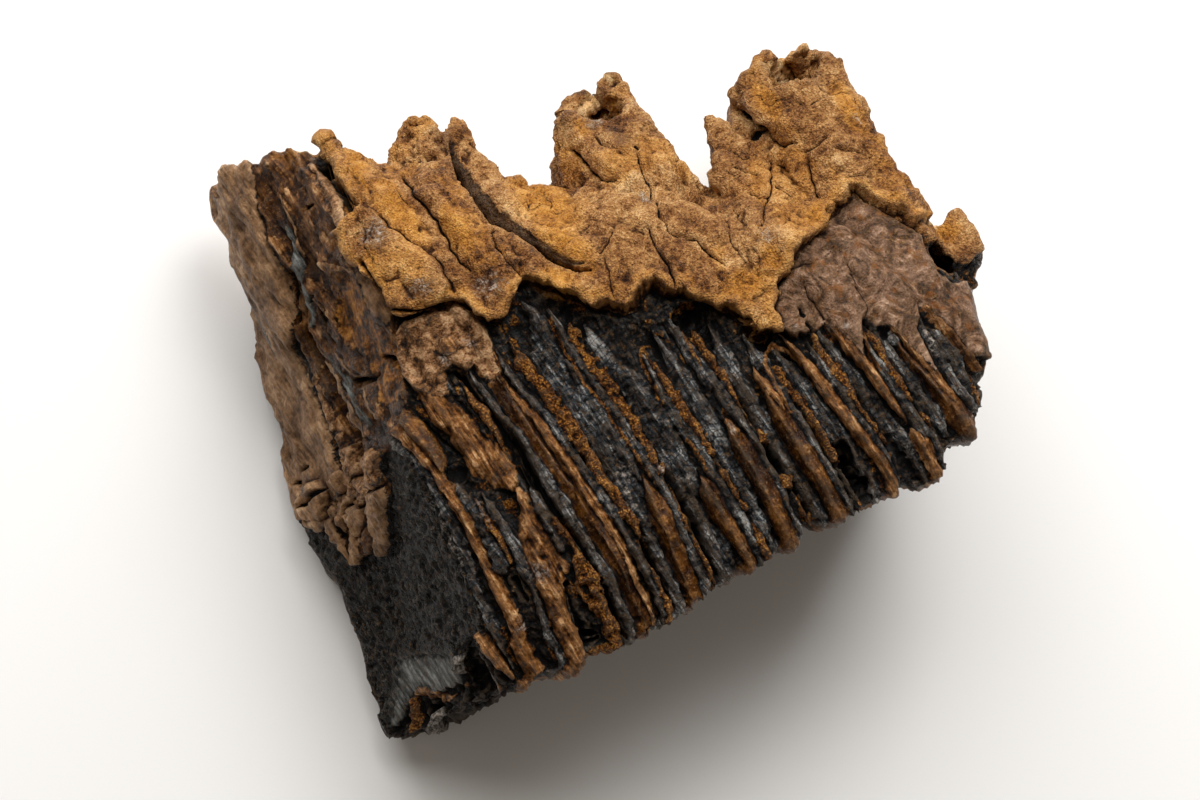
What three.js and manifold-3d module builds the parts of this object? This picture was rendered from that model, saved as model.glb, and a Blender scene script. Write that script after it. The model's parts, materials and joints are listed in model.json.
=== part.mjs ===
// A fossil woolly mammoth molar, lying on its tongue side: one grown piece of enamel plates, dentine and cement.
// Millimetres. +X runs along the tooth row, +Y from the chewing face to the roots, +Z is up, through the tooth's width.
// The origin is under the middle of the tooth, on the surface that it lies on.
import * as THREE from "three";
import { mergeVertices } from "three/addons/utils/BufferGeometryUtils.js";
import Module from "manifold-3d";

const wasm = await Module();
wasm.setup();

// Driving dimensions. Lengths along the tooth are taken at the cheek side, REFERENCE_Z above the surface.
const MIDDLE_X = 9; // the middle of the whole tooth, in the measure that all the places below use
const MIDDLE_Y = 19.4;
const REFERENCE_Z = 70;
const CROWN_LEFT = -43;
const CROWN_RIGHT = 86;
const CHEEK_Z = 76; // highest point of the cheek side
const ROOT_LINE_Y = 50; // where the roots leave the crown, at x = 0
const ROOT_LINE_FALL = 0.58; // how fast that line falls towards the right end
const CHEWING_Y = -50; // worn chewing face at the cheek side
const CHEWING_LEAN = 0.08; // the chewing face retreats by this much per mm of depth
const CEMENT_WORN = 1.4; // the cement between the plates is worn this much deeper
const END_LEAN = 0.5; // the left end face runs this far left per mm of depth
const PLATE_COUNT = 11;
const PLATE_PITCH = 11;
const PLATE_FIRST_X = -30.5;
const PLATE_THICKNESS = 5.2;
const PLATE_PROUD = 1.6; // how far a plate's rim stands out of the cement
const PLATE_TILT = 0.13; // plates lean left towards the roots
const CAP_PROUD = 3.2; // how far the root cap stands out of the crown
const LYING_FLAT = 1.2; // depth of the worn flat that the tooth lies on

const clamp01 = (t) => Math.min(1, Math.max(0, t));
const alongCrown = (x) => clamp01((x - CROWN_LEFT) / (CROWN_RIGHT - CROWN_LEFT));

// Plates and end faces lean towards the left with depth, most at the left end.
const depthLean = (x) => END_LEAN - 0.24 * alongCrown(x);

// The crown's cross-section at a station along the tooth: its extent in Y and Z.
function crownSection(x) {
  const t = alongCrown(x);
  const rightEnd = clamp01((t - 0.8) / 0.2) ** 1.5;
  const leftEnd = clamp01((0.12 - t) / 0.12) ** 2;
  return {
    yLow: CHEWING_Y - 10 + 42 * rightEnd,
    yHigh: ROOT_LINE_Y - ROOT_LINE_FALL * x,
    zLow: -LYING_FLAT + 8 * leftEnd + 14 * rightEnd,
    zHigh: CHEEK_Z - 4 * leftEnd - 12 * rightEnd,
  };
}

// A closed ring of [across, up] pairs: an oval when squareness is 1, squarer as it falls.
function oval(halfAcross, halfUp, steps, squareness) {
  const bend = (c) => Math.sign(c) * Math.abs(c) ** squareness;
  return Array.from({ length: steps }, (_, i) => {
    const angle = (2 * Math.PI * i) / steps;
    return [halfAcross * bend(Math.cos(angle)), halfUp * bend(Math.sin(angle))];
  });
}

// The ring of a crown section in Y and Z, grown by some millimetres.
function ringOf({ yLow, yHigh, zLow, zHigh }, grow, steps) {
  const ring = oval((yHigh - yLow) / 2 + grow, (zHigh - zLow) / 2 + grow, steps, 0.62);
  return ring.map(([y, z]) => [y + (yHigh + yLow) / 2, z + (zHigh + zLow) / 2]);
}

// A closed skin through rings of points, with a flat fan over each end.
function loft(rings) {
  const steps = rings[0].length;
  const points = rings.flat();
  const faces = [];
  for (let r = 0; r + 1 < rings.length; r++)
    for (let i = 0; i < steps; i++) {
      const j = (i + 1) % steps;
      const a = r * steps;
      const b = a + steps;
      faces.push(a + i, a + j, b + i, a + j, b + j, b + i);
    }
  [0, rings.length - 1].forEach((r, end) => {
    const centre = new THREE.Vector3();
    rings[r].forEach((p) => centre.addScaledVector(p, 1 / steps));
    const c = points.push(centre) - 1;
    for (let i = 0; i < steps; i++) {
      const rim = [r * steps + i, r * steps + ((i + 1) % steps)];
      faces.push(c, ...(end ? rim : rim.reverse()));
    }
  });
  const geometry = new THREE.BufferGeometry().setFromPoints(points);
  geometry.setIndex(faces);
  return geometry;
}

// The manifold-3d solid of a three.js geometry.
function solid(geometry) {
  const bare = geometry.clone();
  bare.deleteAttribute("normal");
  bare.deleteAttribute("uv");
  const merged = mergeVertices(bare, 1e-4);
  const vertProperties = merged.attributes.position.array;
  const triVerts = new Uint32Array(merged.index.array);
  return new wasm.Manifold(new wasm.Mesh({ numProp: 3, vertProperties, triVerts }));
}

// The crown's skin, grown outwards by some millimetres. Above the middle the left end leans back to the right.
function crownSkin(grow) {
  const stations = 18;
  const rings = [];
  for (let s = 0; s <= stations; s++) {
    const x = CROWN_LEFT + ((CROWN_RIGHT - CROWN_LEFT) * s) / stations;
    const last = s === stations; // the right end is rounded over, and the left end is a broken flat
    rings.push(
      ringOf(crownSection(x), last ? grow - 5 : grow, 32).map(([y, z]) => {
        const leanBack = 0.2 * Math.max(0, y) * (1 - alongCrown(x));
        return new THREE.Vector3(x + (last ? grow : 0) - depthLean(x) * (REFERENCE_Z - z) + leanBack, y, z);
      }),
    );
  }
  return loft(rings);
}

// One enamel plate: a slab through the whole crown, with its rims bevelled.
function plate(index) {
  const x = PLATE_FIRST_X + PLATE_PITCH * index;
  const tall = ringOf(crownSection(x), PLATE_PROUD + 3, 26);
  const bevelled = ringOf(crownSection(x), 0, 26);
  const place = (ring, side) =>
    ring.map(([y, z]) => {
      const left = depthLean(x) * (REFERENCE_Z - z) + PLATE_TILT * (y - CHEWING_Y);
      return new THREE.Vector3(x + side * PLATE_THICKNESS - left, y, z);
    });
  return loft([place(bevelled, -0.5), place(tall, -0.3), place(tall, 0.3), place(bevelled, 0.5)]);
}

// What chewing wore away: all beyond a leaning plane, moved into the tooth by some millimetres.
function chewedOff(deeper) {
  const block = new THREE.BoxGeometry(400, 60, 300).translate(0, -30, 0);
  return solid(block.rotateX(Math.atan(CHEWING_LEAN)).translate(0, CHEWING_Y + deeper, REFERENCE_Z));
}

// The edge of the root cap over the crown, as scalloped tongues over the plates, and round behind the roots.
const CAP_OUTLINE = [
  [-90, 46],
  [-60, 42],
  [-31, 35],
  [-20, 33],
  [-16, 24],
  [-9, 23],
  [-5, 29],
  [1, 23],
  [12, 9],
  [19, 5],
  [22, 12],
  [29, 6],
  [39, -7],
  [44, 2],
  [52, 8],
  [64, 13],
  [72, 14],
  [80, 4],
  [88, 8],
  [88, 110],
  [-90, 110],
];

// The root cap: the crown's skin grown outwards, kept inside its outline.
function rootCap() {
  const outline = new THREE.Shape(CAP_OUTLINE.map(([x, y]) => new THREE.Vector2(x, y)));
  const through = new THREE.ExtrudeGeometry(outline, { depth: 120, bevelEnabled: false });
  return solid(crownSkin(CAP_PROUD)).intersect(solid(through.translate(0, 0, -10)));
}

// A root: a squared tube through [x, y, z, half width, half depth] stations. Its sections lean right as they rise.
function root({ lean, stations }) {
  return loft(
    stations.map(([x, y, z, halfX, halfZ]) =>
      oval(halfZ, halfX, 12, 0.8).map(([up, across]) => new THREE.Vector3(x + across + lean * up, y, z + up)),
    ),
  );
}

// The open end of the pulp canal in a broad root: a cone that narrows down into it.
function pulpHollow({ x, y, z, radius, depth }) {
  return new THREE.ConeGeometry(radius, depth, 12).rotateX(Math.PI).translate(x, y - depth / 2 + 0.5, z);
}

const CHEEK_ROOTS = [
  { lean: 0.1, stations: [[-23, 40, 52, 9, 16], [-26, 60, 53, 4.5, 9], [-28, 73, 52, 2.4, 6], [-28.6, 79, 52, 1.2, 3]] },
  { lean: 0.1, stations: [[-12, 35, 50, 13, 20], [-11, 56, 49, 9, 15], [-9.5, 69, 46, 5.8, 10], [-9.2, 77.5, 44, 3.6, 6]] },
  { lean: 0.1, stations: [[-3, 30, 52, 9, 16], [-1.5, 50, 51, 6.5, 12], [0, 63, 49, 3.2, 7], [0.6, 72.5, 48, 1.3, 3]] },
  { lean: 0.1, stations: [[25, 12, 50, 16, 22], [27, 36, 50, 12, 18], [27, 52, 46, 10, 14], [27, 62, 43, 7.5, 11]] },
  { lean: 0, stations: [[31, 44, 44, 8, 12], [35, 57, 42, 4.6, 8], [36.5, 66, 42, 2.4, 5]] },
  { lean: 0, stations: [[23, 38, 38, 9, 10], [24.5, 57, 38, 6.5, 8], [25.5, 69, 37, 4, 6]] },
  { lean: 0, stations: [[55, 4, 50, 13, 18], [52, 22, 52, 9, 13], [50.4, 36, 51, 4, 7], [49.6, 47.5, 50, 1.2, 2]] },
  { lean: 0.1, stations: [[67, -4, 46, 16, 24], [69, 22, 45, 13.5, 20], [69.5, 42, 43, 13, 16], [70, 55, 40, 10.5, 11]] },
];

const TONGUE_ROOTS = [
  { lean: 0.6, stations: [[-34, 48, 36, 18, 26], [-41, 70, 35, 12, 20], [-44, 82, 34, 8, 17], [-46, 89, 31, 5.5, 13]] },
  { lean: 0.3, stations: [[-16, 30, 28, 13, 20], [-20, 54, 25, 9, 13], [-21, 68, 22, 5, 8]] },
  { lean: 0.3, stations: [[12, 16, 27, 14, 20], [11, 38, 24, 10, 14], [10, 52, 21, 6, 8]] },
  { lean: 0.3, stations: [[42, 4, 28, 15, 20], [43, 26, 25, 10, 13], [42, 40, 22, 6, 8]] },
];

// The broken stump of the last root, on the right end.
const STUMP = { lean: 0, stations: [[78, -14, 46, 8, 12], [85, -6, 48, 6.5, 8], [88.5, 0, 49, 4, 5], [90, 4.5, 50, 2.4, 3]] };

const PULP_HOLLOWS = [
  { x: -9.2, y: 77.5, z: 44, radius: 2.6, depth: 7 },
  { x: 26, y: 62, z: 45, radius: 4.2, depth: 9 },
  { x: 68, y: 55, z: 41, radius: 6.2, depth: 12 },
  { x: -46, y: 89, z: 31, radius: 4, depth: 9 },
  { x: -21, y: 68, z: 22, radius: 3.6, depth: 8 },
  { x: 10, y: 52, z: 21, radius: 4.2, depth: 9 },
  { x: 42, y: 40, z: 22, radius: 4.2, depth: 9 },
];

// The whole tooth, joined, then worn flat on its chewing face and where it lies on its tongue side.
function assemble() {
  const rim = solid(crownSkin(PLATE_PROUD));
  let tooth = solid(crownSkin(0)).subtract(chewedOff(CEMENT_WORN)).add(rootCap());
  for (let i = 0; i < PLATE_COUNT; i++) tooth = tooth.add(solid(plate(i)).intersect(rim));
  for (const grown of [...CHEEK_ROOTS, ...TONGUE_ROOTS, STUMP]) tooth = tooth.add(solid(root(grown)));
  for (const hollow of PULP_HOLLOWS) tooth = tooth.subtract(solid(pulpHollow(hollow)));
  const below = new THREE.BoxGeometry(400, 400, 60).translate(0, 0, -30);
  return tooth.subtract(chewedOff(0)).subtract(solid(below)).simplify(0.05);
}

const { vertProperties, triVerts } = assemble().translate([-MIDDLE_X, -MIDDLE_Y, 0]).getMesh();
const geometry = new THREE.BufferGeometry();
geometry.setAttribute("position", new THREE.BufferAttribute(vertProperties, 3));
geometry.setIndex(new THREE.BufferAttribute(triVerts, 1));
geometry.computeVertexNormals();

const molar = new THREE.Mesh(
  geometry,
  new THREE.MeshStandardMaterial({ color: 0x6b4a2c, roughness: 0.6, metalness: 0, flatShading: true }),
);
molar.name = "molar";

const tooth = new THREE.Group();
tooth.add(molar);
export default tooth;
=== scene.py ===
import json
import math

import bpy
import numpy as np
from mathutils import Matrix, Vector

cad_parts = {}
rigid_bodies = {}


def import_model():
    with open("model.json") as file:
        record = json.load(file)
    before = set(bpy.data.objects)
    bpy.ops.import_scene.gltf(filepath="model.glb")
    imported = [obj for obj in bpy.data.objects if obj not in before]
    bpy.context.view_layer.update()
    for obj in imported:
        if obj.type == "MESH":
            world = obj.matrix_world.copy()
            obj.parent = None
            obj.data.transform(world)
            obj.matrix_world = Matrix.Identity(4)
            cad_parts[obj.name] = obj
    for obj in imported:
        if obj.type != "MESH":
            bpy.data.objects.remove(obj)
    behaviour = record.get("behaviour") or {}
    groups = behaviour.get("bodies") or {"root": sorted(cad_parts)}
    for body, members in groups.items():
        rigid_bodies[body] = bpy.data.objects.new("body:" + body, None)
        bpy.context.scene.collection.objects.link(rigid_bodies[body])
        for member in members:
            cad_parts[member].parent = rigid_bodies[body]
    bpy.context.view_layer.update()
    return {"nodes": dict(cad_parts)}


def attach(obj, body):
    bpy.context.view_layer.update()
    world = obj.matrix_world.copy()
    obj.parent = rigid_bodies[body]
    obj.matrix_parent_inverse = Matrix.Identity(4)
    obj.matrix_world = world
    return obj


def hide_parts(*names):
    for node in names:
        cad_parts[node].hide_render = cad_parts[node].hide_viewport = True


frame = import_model()

# %% [markdown]
# # A fossil mammoth molar
# The real object is one tooth that turned to stone: a row of enamel plates with brown cement between them,
# and a golden cap of dentine with hollow, broken roots. It lies on one side. Nothing on it moves, so there
# is one piece. A fossil could be modelled from a cage with subdivisions, or carved like clay. It is carved
# here, because its surface is all ridges, cracks and flakes: a rough block first, then big forms, then fine
# relief.

MM = 0.001
# The carving is laid out in the tooth's own measure, in millimetres: x along the tooth row, y from the
# chewing face to the roots, z up through the tooth. Its zero lies this far from the frame's zero.
TOOTH_ZERO = np.array([-9.0, -19.4, 0.0])


def to_frame(x, y, z):
    """A point of the tooth measure, in the frame's metres."""
    return (Vector((x, y, z)) + Vector(TOOTH_ZERO)) * MM


# %% [markdown]
# ## Camera, light and floor
# The tooth is seen from high above, a little from the chewing side. A big window of soft light hangs beyond
# the roots, so the shadow falls towards the viewer. A smaller lamp to the right of it gives the cracks an
# edge, and a room of warm white fills the rest.

# %% Camera
VIEW_DISTANCE = 0.88  # m, a little more than an arm's length
view_up = math.radians(80)
view_round = math.radians(-26.5)
towards_camera = Vector(
    (
        math.sin(view_round) * math.cos(view_up),
        -math.cos(view_round) * math.cos(view_up),
        math.sin(view_up),
    )
)
aim = to_frame(0, 0, 60)
bpy.ops.object.camera_add(location=aim + VIEW_DISTANCE * towards_camera)
camera = bpy.context.active_object
camera.rotation_euler = towards_camera.to_track_quat("Z", "Y").to_euler()
camera.data.lens = 120  # mm, so that the tooth hardly tapers with distance
camera.data.clip_start = 0.05  # m
bpy.context.scene.camera = camera
print("camera at", [round(v, 3) for v in camera.location])

# %% Light
# Flat directions on the floor: away from the viewer, and to the viewer's right.
beyond = Vector((-math.sin(view_round), math.cos(view_round), 0))
rightwards = Vector((beyond.y, -beyond.x, 0))


def soft_light(name, side, up, distance, size, power):
    """A square light that looks at the tooth from side, a flat direction, and from up degrees above it."""
    rise = math.radians(up)
    way = side.normalized() * math.cos(rise) + Vector((0, 0, math.sin(rise)))
    bpy.ops.object.light_add(type="AREA", location=aim + distance * way)
    light = bpy.context.active_object
    light.name = name
    light.data.size = size
    light.data.energy = power
    light.rotation_euler = way.to_track_quat("Z", "Y").to_euler()
    print(name, "of", power, "W at", [round(v, 3) for v in light.location])


soft_light("window", beyond, up=40, distance=1.15, size=1.6, power=24.5)
soft_light("lamp", beyond + 0.58 * rightwards, up=55, distance=1.15, size=0.5, power=5.5)
world = bpy.context.scene.world or bpy.data.worlds.new("room")
bpy.context.scene.world = world
world.use_nodes = True
room = world.node_tree.nodes["Background"]
room.inputs["Color"].default_value = (1, 0.9, 0.79, 1)  # warm white, already linear
room.inputs["Strength"].default_value = 0.2
bpy.context.scene.view_settings.view_transform = "Standard"


# %% A helper for colours and one for nodes
def srgb(code):
    """The linear colour of an sRGB hex code."""
    parts = [int(code[i : i + 2], 16) / 255 for i in (1, 3, 5)]
    return (*[p / 12.92 if p <= 0.04045 else ((p + 0.055) / 1.055) ** 2.4 for p in parts], 1)


def node(tree, kind, settings=None, **links):
    """Adds a shader node. Settings are its own properties. Links go into its inputs, by name or by _number:
    a number, a colour, a socket, or another node, which gives its first output."""
    made = tree.nodes.new(kind)
    for name, value in (settings or {}).items():
        setattr(made, name, value)
    for name, value in links.items():
        socket = made.inputs[int(name[1:])] if name[0] == "_" else made.inputs[name.replace("_", " ")]
        if isinstance(value, bpy.types.Node):
            value = value.outputs[0]
        if isinstance(value, bpy.types.NodeSocket):
            tree.links.new(value, socket)
        else:
            socket.default_value = value
    return made


# %% Floor
bpy.ops.object.select_all(action="DESELECT")
FLOOR_SIZE = 6  # m, so that its edges stay out of sight
bpy.ops.mesh.primitive_plane_add(size=FLOOR_SIZE, location=(0, 0, 0))
floor = bpy.context.active_object
floor.name = "floor"
paper = bpy.data.materials.new("white paper")
paper.use_nodes = True
matt = paper.node_tree.nodes["Principled BSDF"]
matt.inputs["Base Color"].default_value = srgb("#f2f1ef")
matt.inputs["Roughness"].default_value = 0.9
floor.data.materials.append(paper)
print("floor of", FLOOR_SIZE, "m")

# %% [markdown]
# ## The rough block
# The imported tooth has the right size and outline, so a copy of it is the block to carve. A voxel remesh gives
# it one even skin of small faces, and smoothing takes off its plain plate steps, which the carving replaces.
# The block is swollen a little, because its true outline is sawn afterwards.

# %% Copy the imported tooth
def pick(piece):
    """Selects this piece and nothing else."""
    bpy.ops.object.select_all(action="DESELECT")
    piece.select_set(True)
    bpy.context.view_layer.objects.active = piece


pick(frame["nodes"]["molar"])
bpy.ops.object.duplicate()
molar = bpy.context.active_object
molar.name = "mammoth_molar"
bpy.ops.object.parent_clear(type="CLEAR_KEEP_TRANSFORM")
# The copy is a piece of its own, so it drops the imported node's labels and material.
for key in list(molar.keys()):
    del molar[key]
molar.data.materials.clear()
bpy.ops.object.mode_set(mode="EDIT")
bpy.ops.mesh.select_all(action="SELECT")
bpy.ops.mesh.remove_doubles(threshold=0.01 * MM)
bpy.ops.object.mode_set(mode="OBJECT")
print("block:", len(molar.data.vertices), "vertices")


# %% Helpers to read and move vertices
def points_of(piece):
    """The piece's vertices in the tooth measure, in mm."""
    flat = np.empty(len(piece.data.vertices) * 3, np.float32)
    piece.data.vertices.foreach_get("co", flat)
    return flat.reshape(-1, 3).astype(float) / MM - TOOTH_ZERO


def put_points(piece, points):
    """Moves the piece's vertices to points of the tooth measure."""
    flat = ((points + TOOTH_ZERO) * MM).astype(np.float32)
    piece.data.vertices.foreach_set("co", flat.ravel())
    piece.data.update()


def normals_of(piece):
    """Which way the skin faces at each vertex."""
    flat = np.empty(len(piece.data.vertices) * 3, np.float32)
    piece.data.vertex_normals.foreach_get("vector", flat)
    return flat.reshape(-1, 3).astype(float)


def apply(piece, kind, **settings):
    """Adds a modifier and applies it at once."""
    pick(piece)
    modifier = piece.modifiers.new(kind.lower(), kind)
    for name, value in settings.items():
        setattr(modifier, name, value)
    bpy.ops.object.modifier_apply(modifier=modifier.name)
    print(kind.lower(), "->", len(piece.data.vertices), "vertices")


def ramp(value, low, high):
    """0 below low, 1 above high, and smooth between."""
    t = np.clip((value - low) / (high - low), 0, 1)
    return t * t * (3 - 2 * t)


# %% One even skin, a little swollen
COARSE = 1.1  # mm, the size of a face
SWELL = 2.6  # mm
apply(molar, "REMESH", mode="VOXEL", voxel_size=COARSE * MM)
points = points_of(molar)
# The crown is smoothed fully, and the roots only a little, so that they keep their ends.
root_line = 44 - 0.5 * points[:, 0]  # y where the roots leave the crown
crown = (1 - 0.9 * ramp(points[:, 1], root_line - 8, root_line + 2)).round(2)
group = molar.vertex_groups.new(name="crown")
for weight in np.unique(crown):
    group.add(np.nonzero(crown == weight)[0].tolist(), float(weight), "REPLACE")
apply(molar, "SMOOTH", factor=0.6, iterations=11, vertex_group="crown")
molar.vertex_groups.clear()
points = points_of(molar)
# The lower left end keeps its size, because the saw doesn't pass there.
upper = np.maximum(ramp(points[:, 1], -5, 15), ramp(points[:, 2], 58, 68))
upper = np.maximum(upper, ramp(-normals_of(molar)[:, 0], 0.2, 0.5))
swell = SWELL * ramp(points[:, 0], -62, -50) * upper
put_points(molar, points + swell[:, None] * normals_of(molar) * (1, 1, 0))


# %% [markdown]
# ## Noise for stone
# Every worn surface needs irregular bumps. A lattice of repeatable random numbers, blended between its
# corners, gives them: it is the classic value noise, written for whole arrays because there are many
# vertices.

# %% Noise
def lattice(cell, seed):
    """A random number from -1 to 1 for each whole-number cell, always the same one."""
    bits = 0xFFFFFFFF
    mixed = cell[:, 0] * 374761393 + cell[:, 1] * 668265263 + cell[:, 2] * 1103515245 + seed * 12345
    mixed &= bits
    mixed = ((mixed ^ (mixed >> 13)) * 1274126177) & bits
    return (mixed ^ (mixed >> 16)) / 0x7FFFFFFF - 1


def noise(points, size, seed=0, octaves=1):
    """Bumps from about -1 to 1. Size is their width in mm, one number or one for each axis."""
    total = np.zeros(len(points))
    for octave in range(octaves):
        p = points / np.asarray(size, float) * 2**octave + 37.7 * octave
        cell = np.floor(p).astype(np.int64)
        t = p - cell
        t = t * t * (3 - 2 * t)
        value = np.zeros(len(points))
        for corner in range(8):
            step = np.array([corner & 1, corner >> 1 & 1, corner >> 2 & 1])
            value += lattice(cell + step, seed + octave) * np.prod(np.where(step, t, 1 - t), axis=1)
        total += value / 2**octave
    return total


# %% [markdown]
# ## Drawing tools for the carving
# Features are drawn on the tooth as seen from straight above: strips that run from the chewing face towards
# the roots, closed outlines, and cracks along a path. Each tool answers for every vertex how deep it lies
# inside.

# %% Strip, outline, path and mound
THINNEST = 0.05  # mm, a strip or crack narrower than this has run out
OUTSIDE = -9.0  # a vertex that no strip or crack comes near


def strip(points, stations):
    """How far inside a strip: 1 on its middle line, 0 at its edge. Stations are (y, x, half width)."""
    y, x, half = np.array(stations, float).T
    width = np.interp(points[:, 1], y, half, left=0, right=0)
    across = np.abs(points[:, 0] - np.interp(points[:, 1], y, x))
    return np.where(width > THINNEST, 1 - across / np.maximum(width, THINNEST), OUTSIDE)


def outline(points, corners):
    """The distance in mm to a closed outline, positive inside."""
    corners = np.array(corners, float)
    nearest = np.full(len(points), 1e9)
    inside = np.zeros(len(points), bool)
    for a, b in zip(corners, np.roll(corners, -1, axis=0)):
        along = b - a
        offset = points[:, :2] - a
        t = np.clip(offset @ along / max(along @ along, 1e-9), 0, 1)
        nearest = np.minimum(nearest, np.hypot(*(offset - t[:, None] * along).T))
        if a[1] != b[1]:
            level = (a[1] > points[:, 1]) != (b[1] > points[:, 1])
            inside ^= level & (offset[:, 0] < along[0] * offset[:, 1] / along[1])
    return np.where(inside, nearest, -nearest)


def path(points, stations):
    """How far inside a path of (x, y, half width) stations: 1 on its line, 0 at its edge."""
    stations = np.array(stations, float)
    best = np.full(len(points), OUTSIDE)
    near = np.all(points[:, :2] > stations[:, :2].min(0) - 4, axis=1)
    near &= np.all(points[:, :2] < stations[:, :2].max(0) + 4, axis=1)
    spot = points[near, :2]
    inside = best[near]
    for a, b in zip(stations[:-1], stations[1:]):
        along = (b - a)[:2]
        t = np.clip((spot - a[:2]) @ along / max(along @ along, 1e-9), 0, 1)
        width = a[2] + t * (b[2] - a[2])
        distance = np.hypot(*(spot - a[:2] - t[:, None] * along).T)
        inside = np.maximum(inside, 1 - distance / np.maximum(width, THINNEST))
    best[near] = inside
    return best


def mound(points, x, y, across, along, turn=0):
    """A round mound: 1 at its middle, falling to 0. Across and along are half sizes, turned by degrees."""
    c, s = math.cos(math.radians(turn)), math.sin(math.radians(turn))
    u = ((points[:, 0] - x) * c + (points[:, 1] - y) * s) / across
    v = ((points[:, 1] - y) * c - (points[:, 0] - x) * s) / along
    return np.clip(1 - u * u - v * v, 0, 1)


# %% [markdown]
# ## Big forms
# Before any detail, the clay is pushed into its big forms: the hollows between the roots, the ribs that run
# up into them, and the sides of the block where they bulge or fall away.

# %% Push the big forms
points = points_of(molar)
normals = normals_of(molar)
top = ramp(normals[:, 2], 0.0, 0.4)
push = 0.7 * noise(points, 16, seed=1, octaves=2) * (0.3 + 0.7 * top)
push += top * (
    -3.2 * mound(points, 9, 42, 8, 15, 20)
    - 3.0 * mound(points, 41, 28, 5, 14, 15)
    - 1.8 * mound(points, -20, 60, 4, 14, 8)
    - 1.2 * mound(points, 38, 8, 6, 7)
    + 1.6 * mound(points, 25, 40, 7, 24, 8)
    + 1.3 * mound(points, -10, 48, 5, 24, 5)
    + 1.2 * mound(points, 68, 30, 10, 20)
    - 1.6 * mound(points, -41, 36, 5, 20, 10)
    + 1.0 * mound(points, -27, 45, 8, 12)
)
points += normals * push[:, None]
print("big forms: from", push.min().round(2), "to", push.max().round(2), "mm")

# %% Move handfuls of clay sideways
# Each has a centre, a reach and a move, all x, y, z in mm.
GRABS = [
    ((88, -12, 45), (12, 22, 50), (3, 0, 0)),
    ((-75, 40, 30), (14, 34, 50), (2.5, 0, 0)),
    ((-60, -52, 20), (40, 12, 30), (-1, -2, 0)),
    ((-76, -42, 10), (16, 16, 30), (-5, -1, 0)),
]
for centre, reach, move in GRABS:
    away = np.linalg.norm((points - np.array(centre)) / np.array(reach), axis=1)
    points += (1 - ramp(away, 0, 1))[:, None] * np.array(move)
put_points(molar, points)
print(len(GRABS), "handfuls moved")

# %% [markdown]
# ## The broken outline
# Roots snap off with flat, ragged ends, and the plates end in scallops along the chewing face. Smoothing
# can't make such edges, so the outline is sawn out as with a fretsaw: a tall block is made in its shape, and
# only what lies inside it is kept. Then the hollow roots and broken corners are scooped out with stretched
# spheres.

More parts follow.
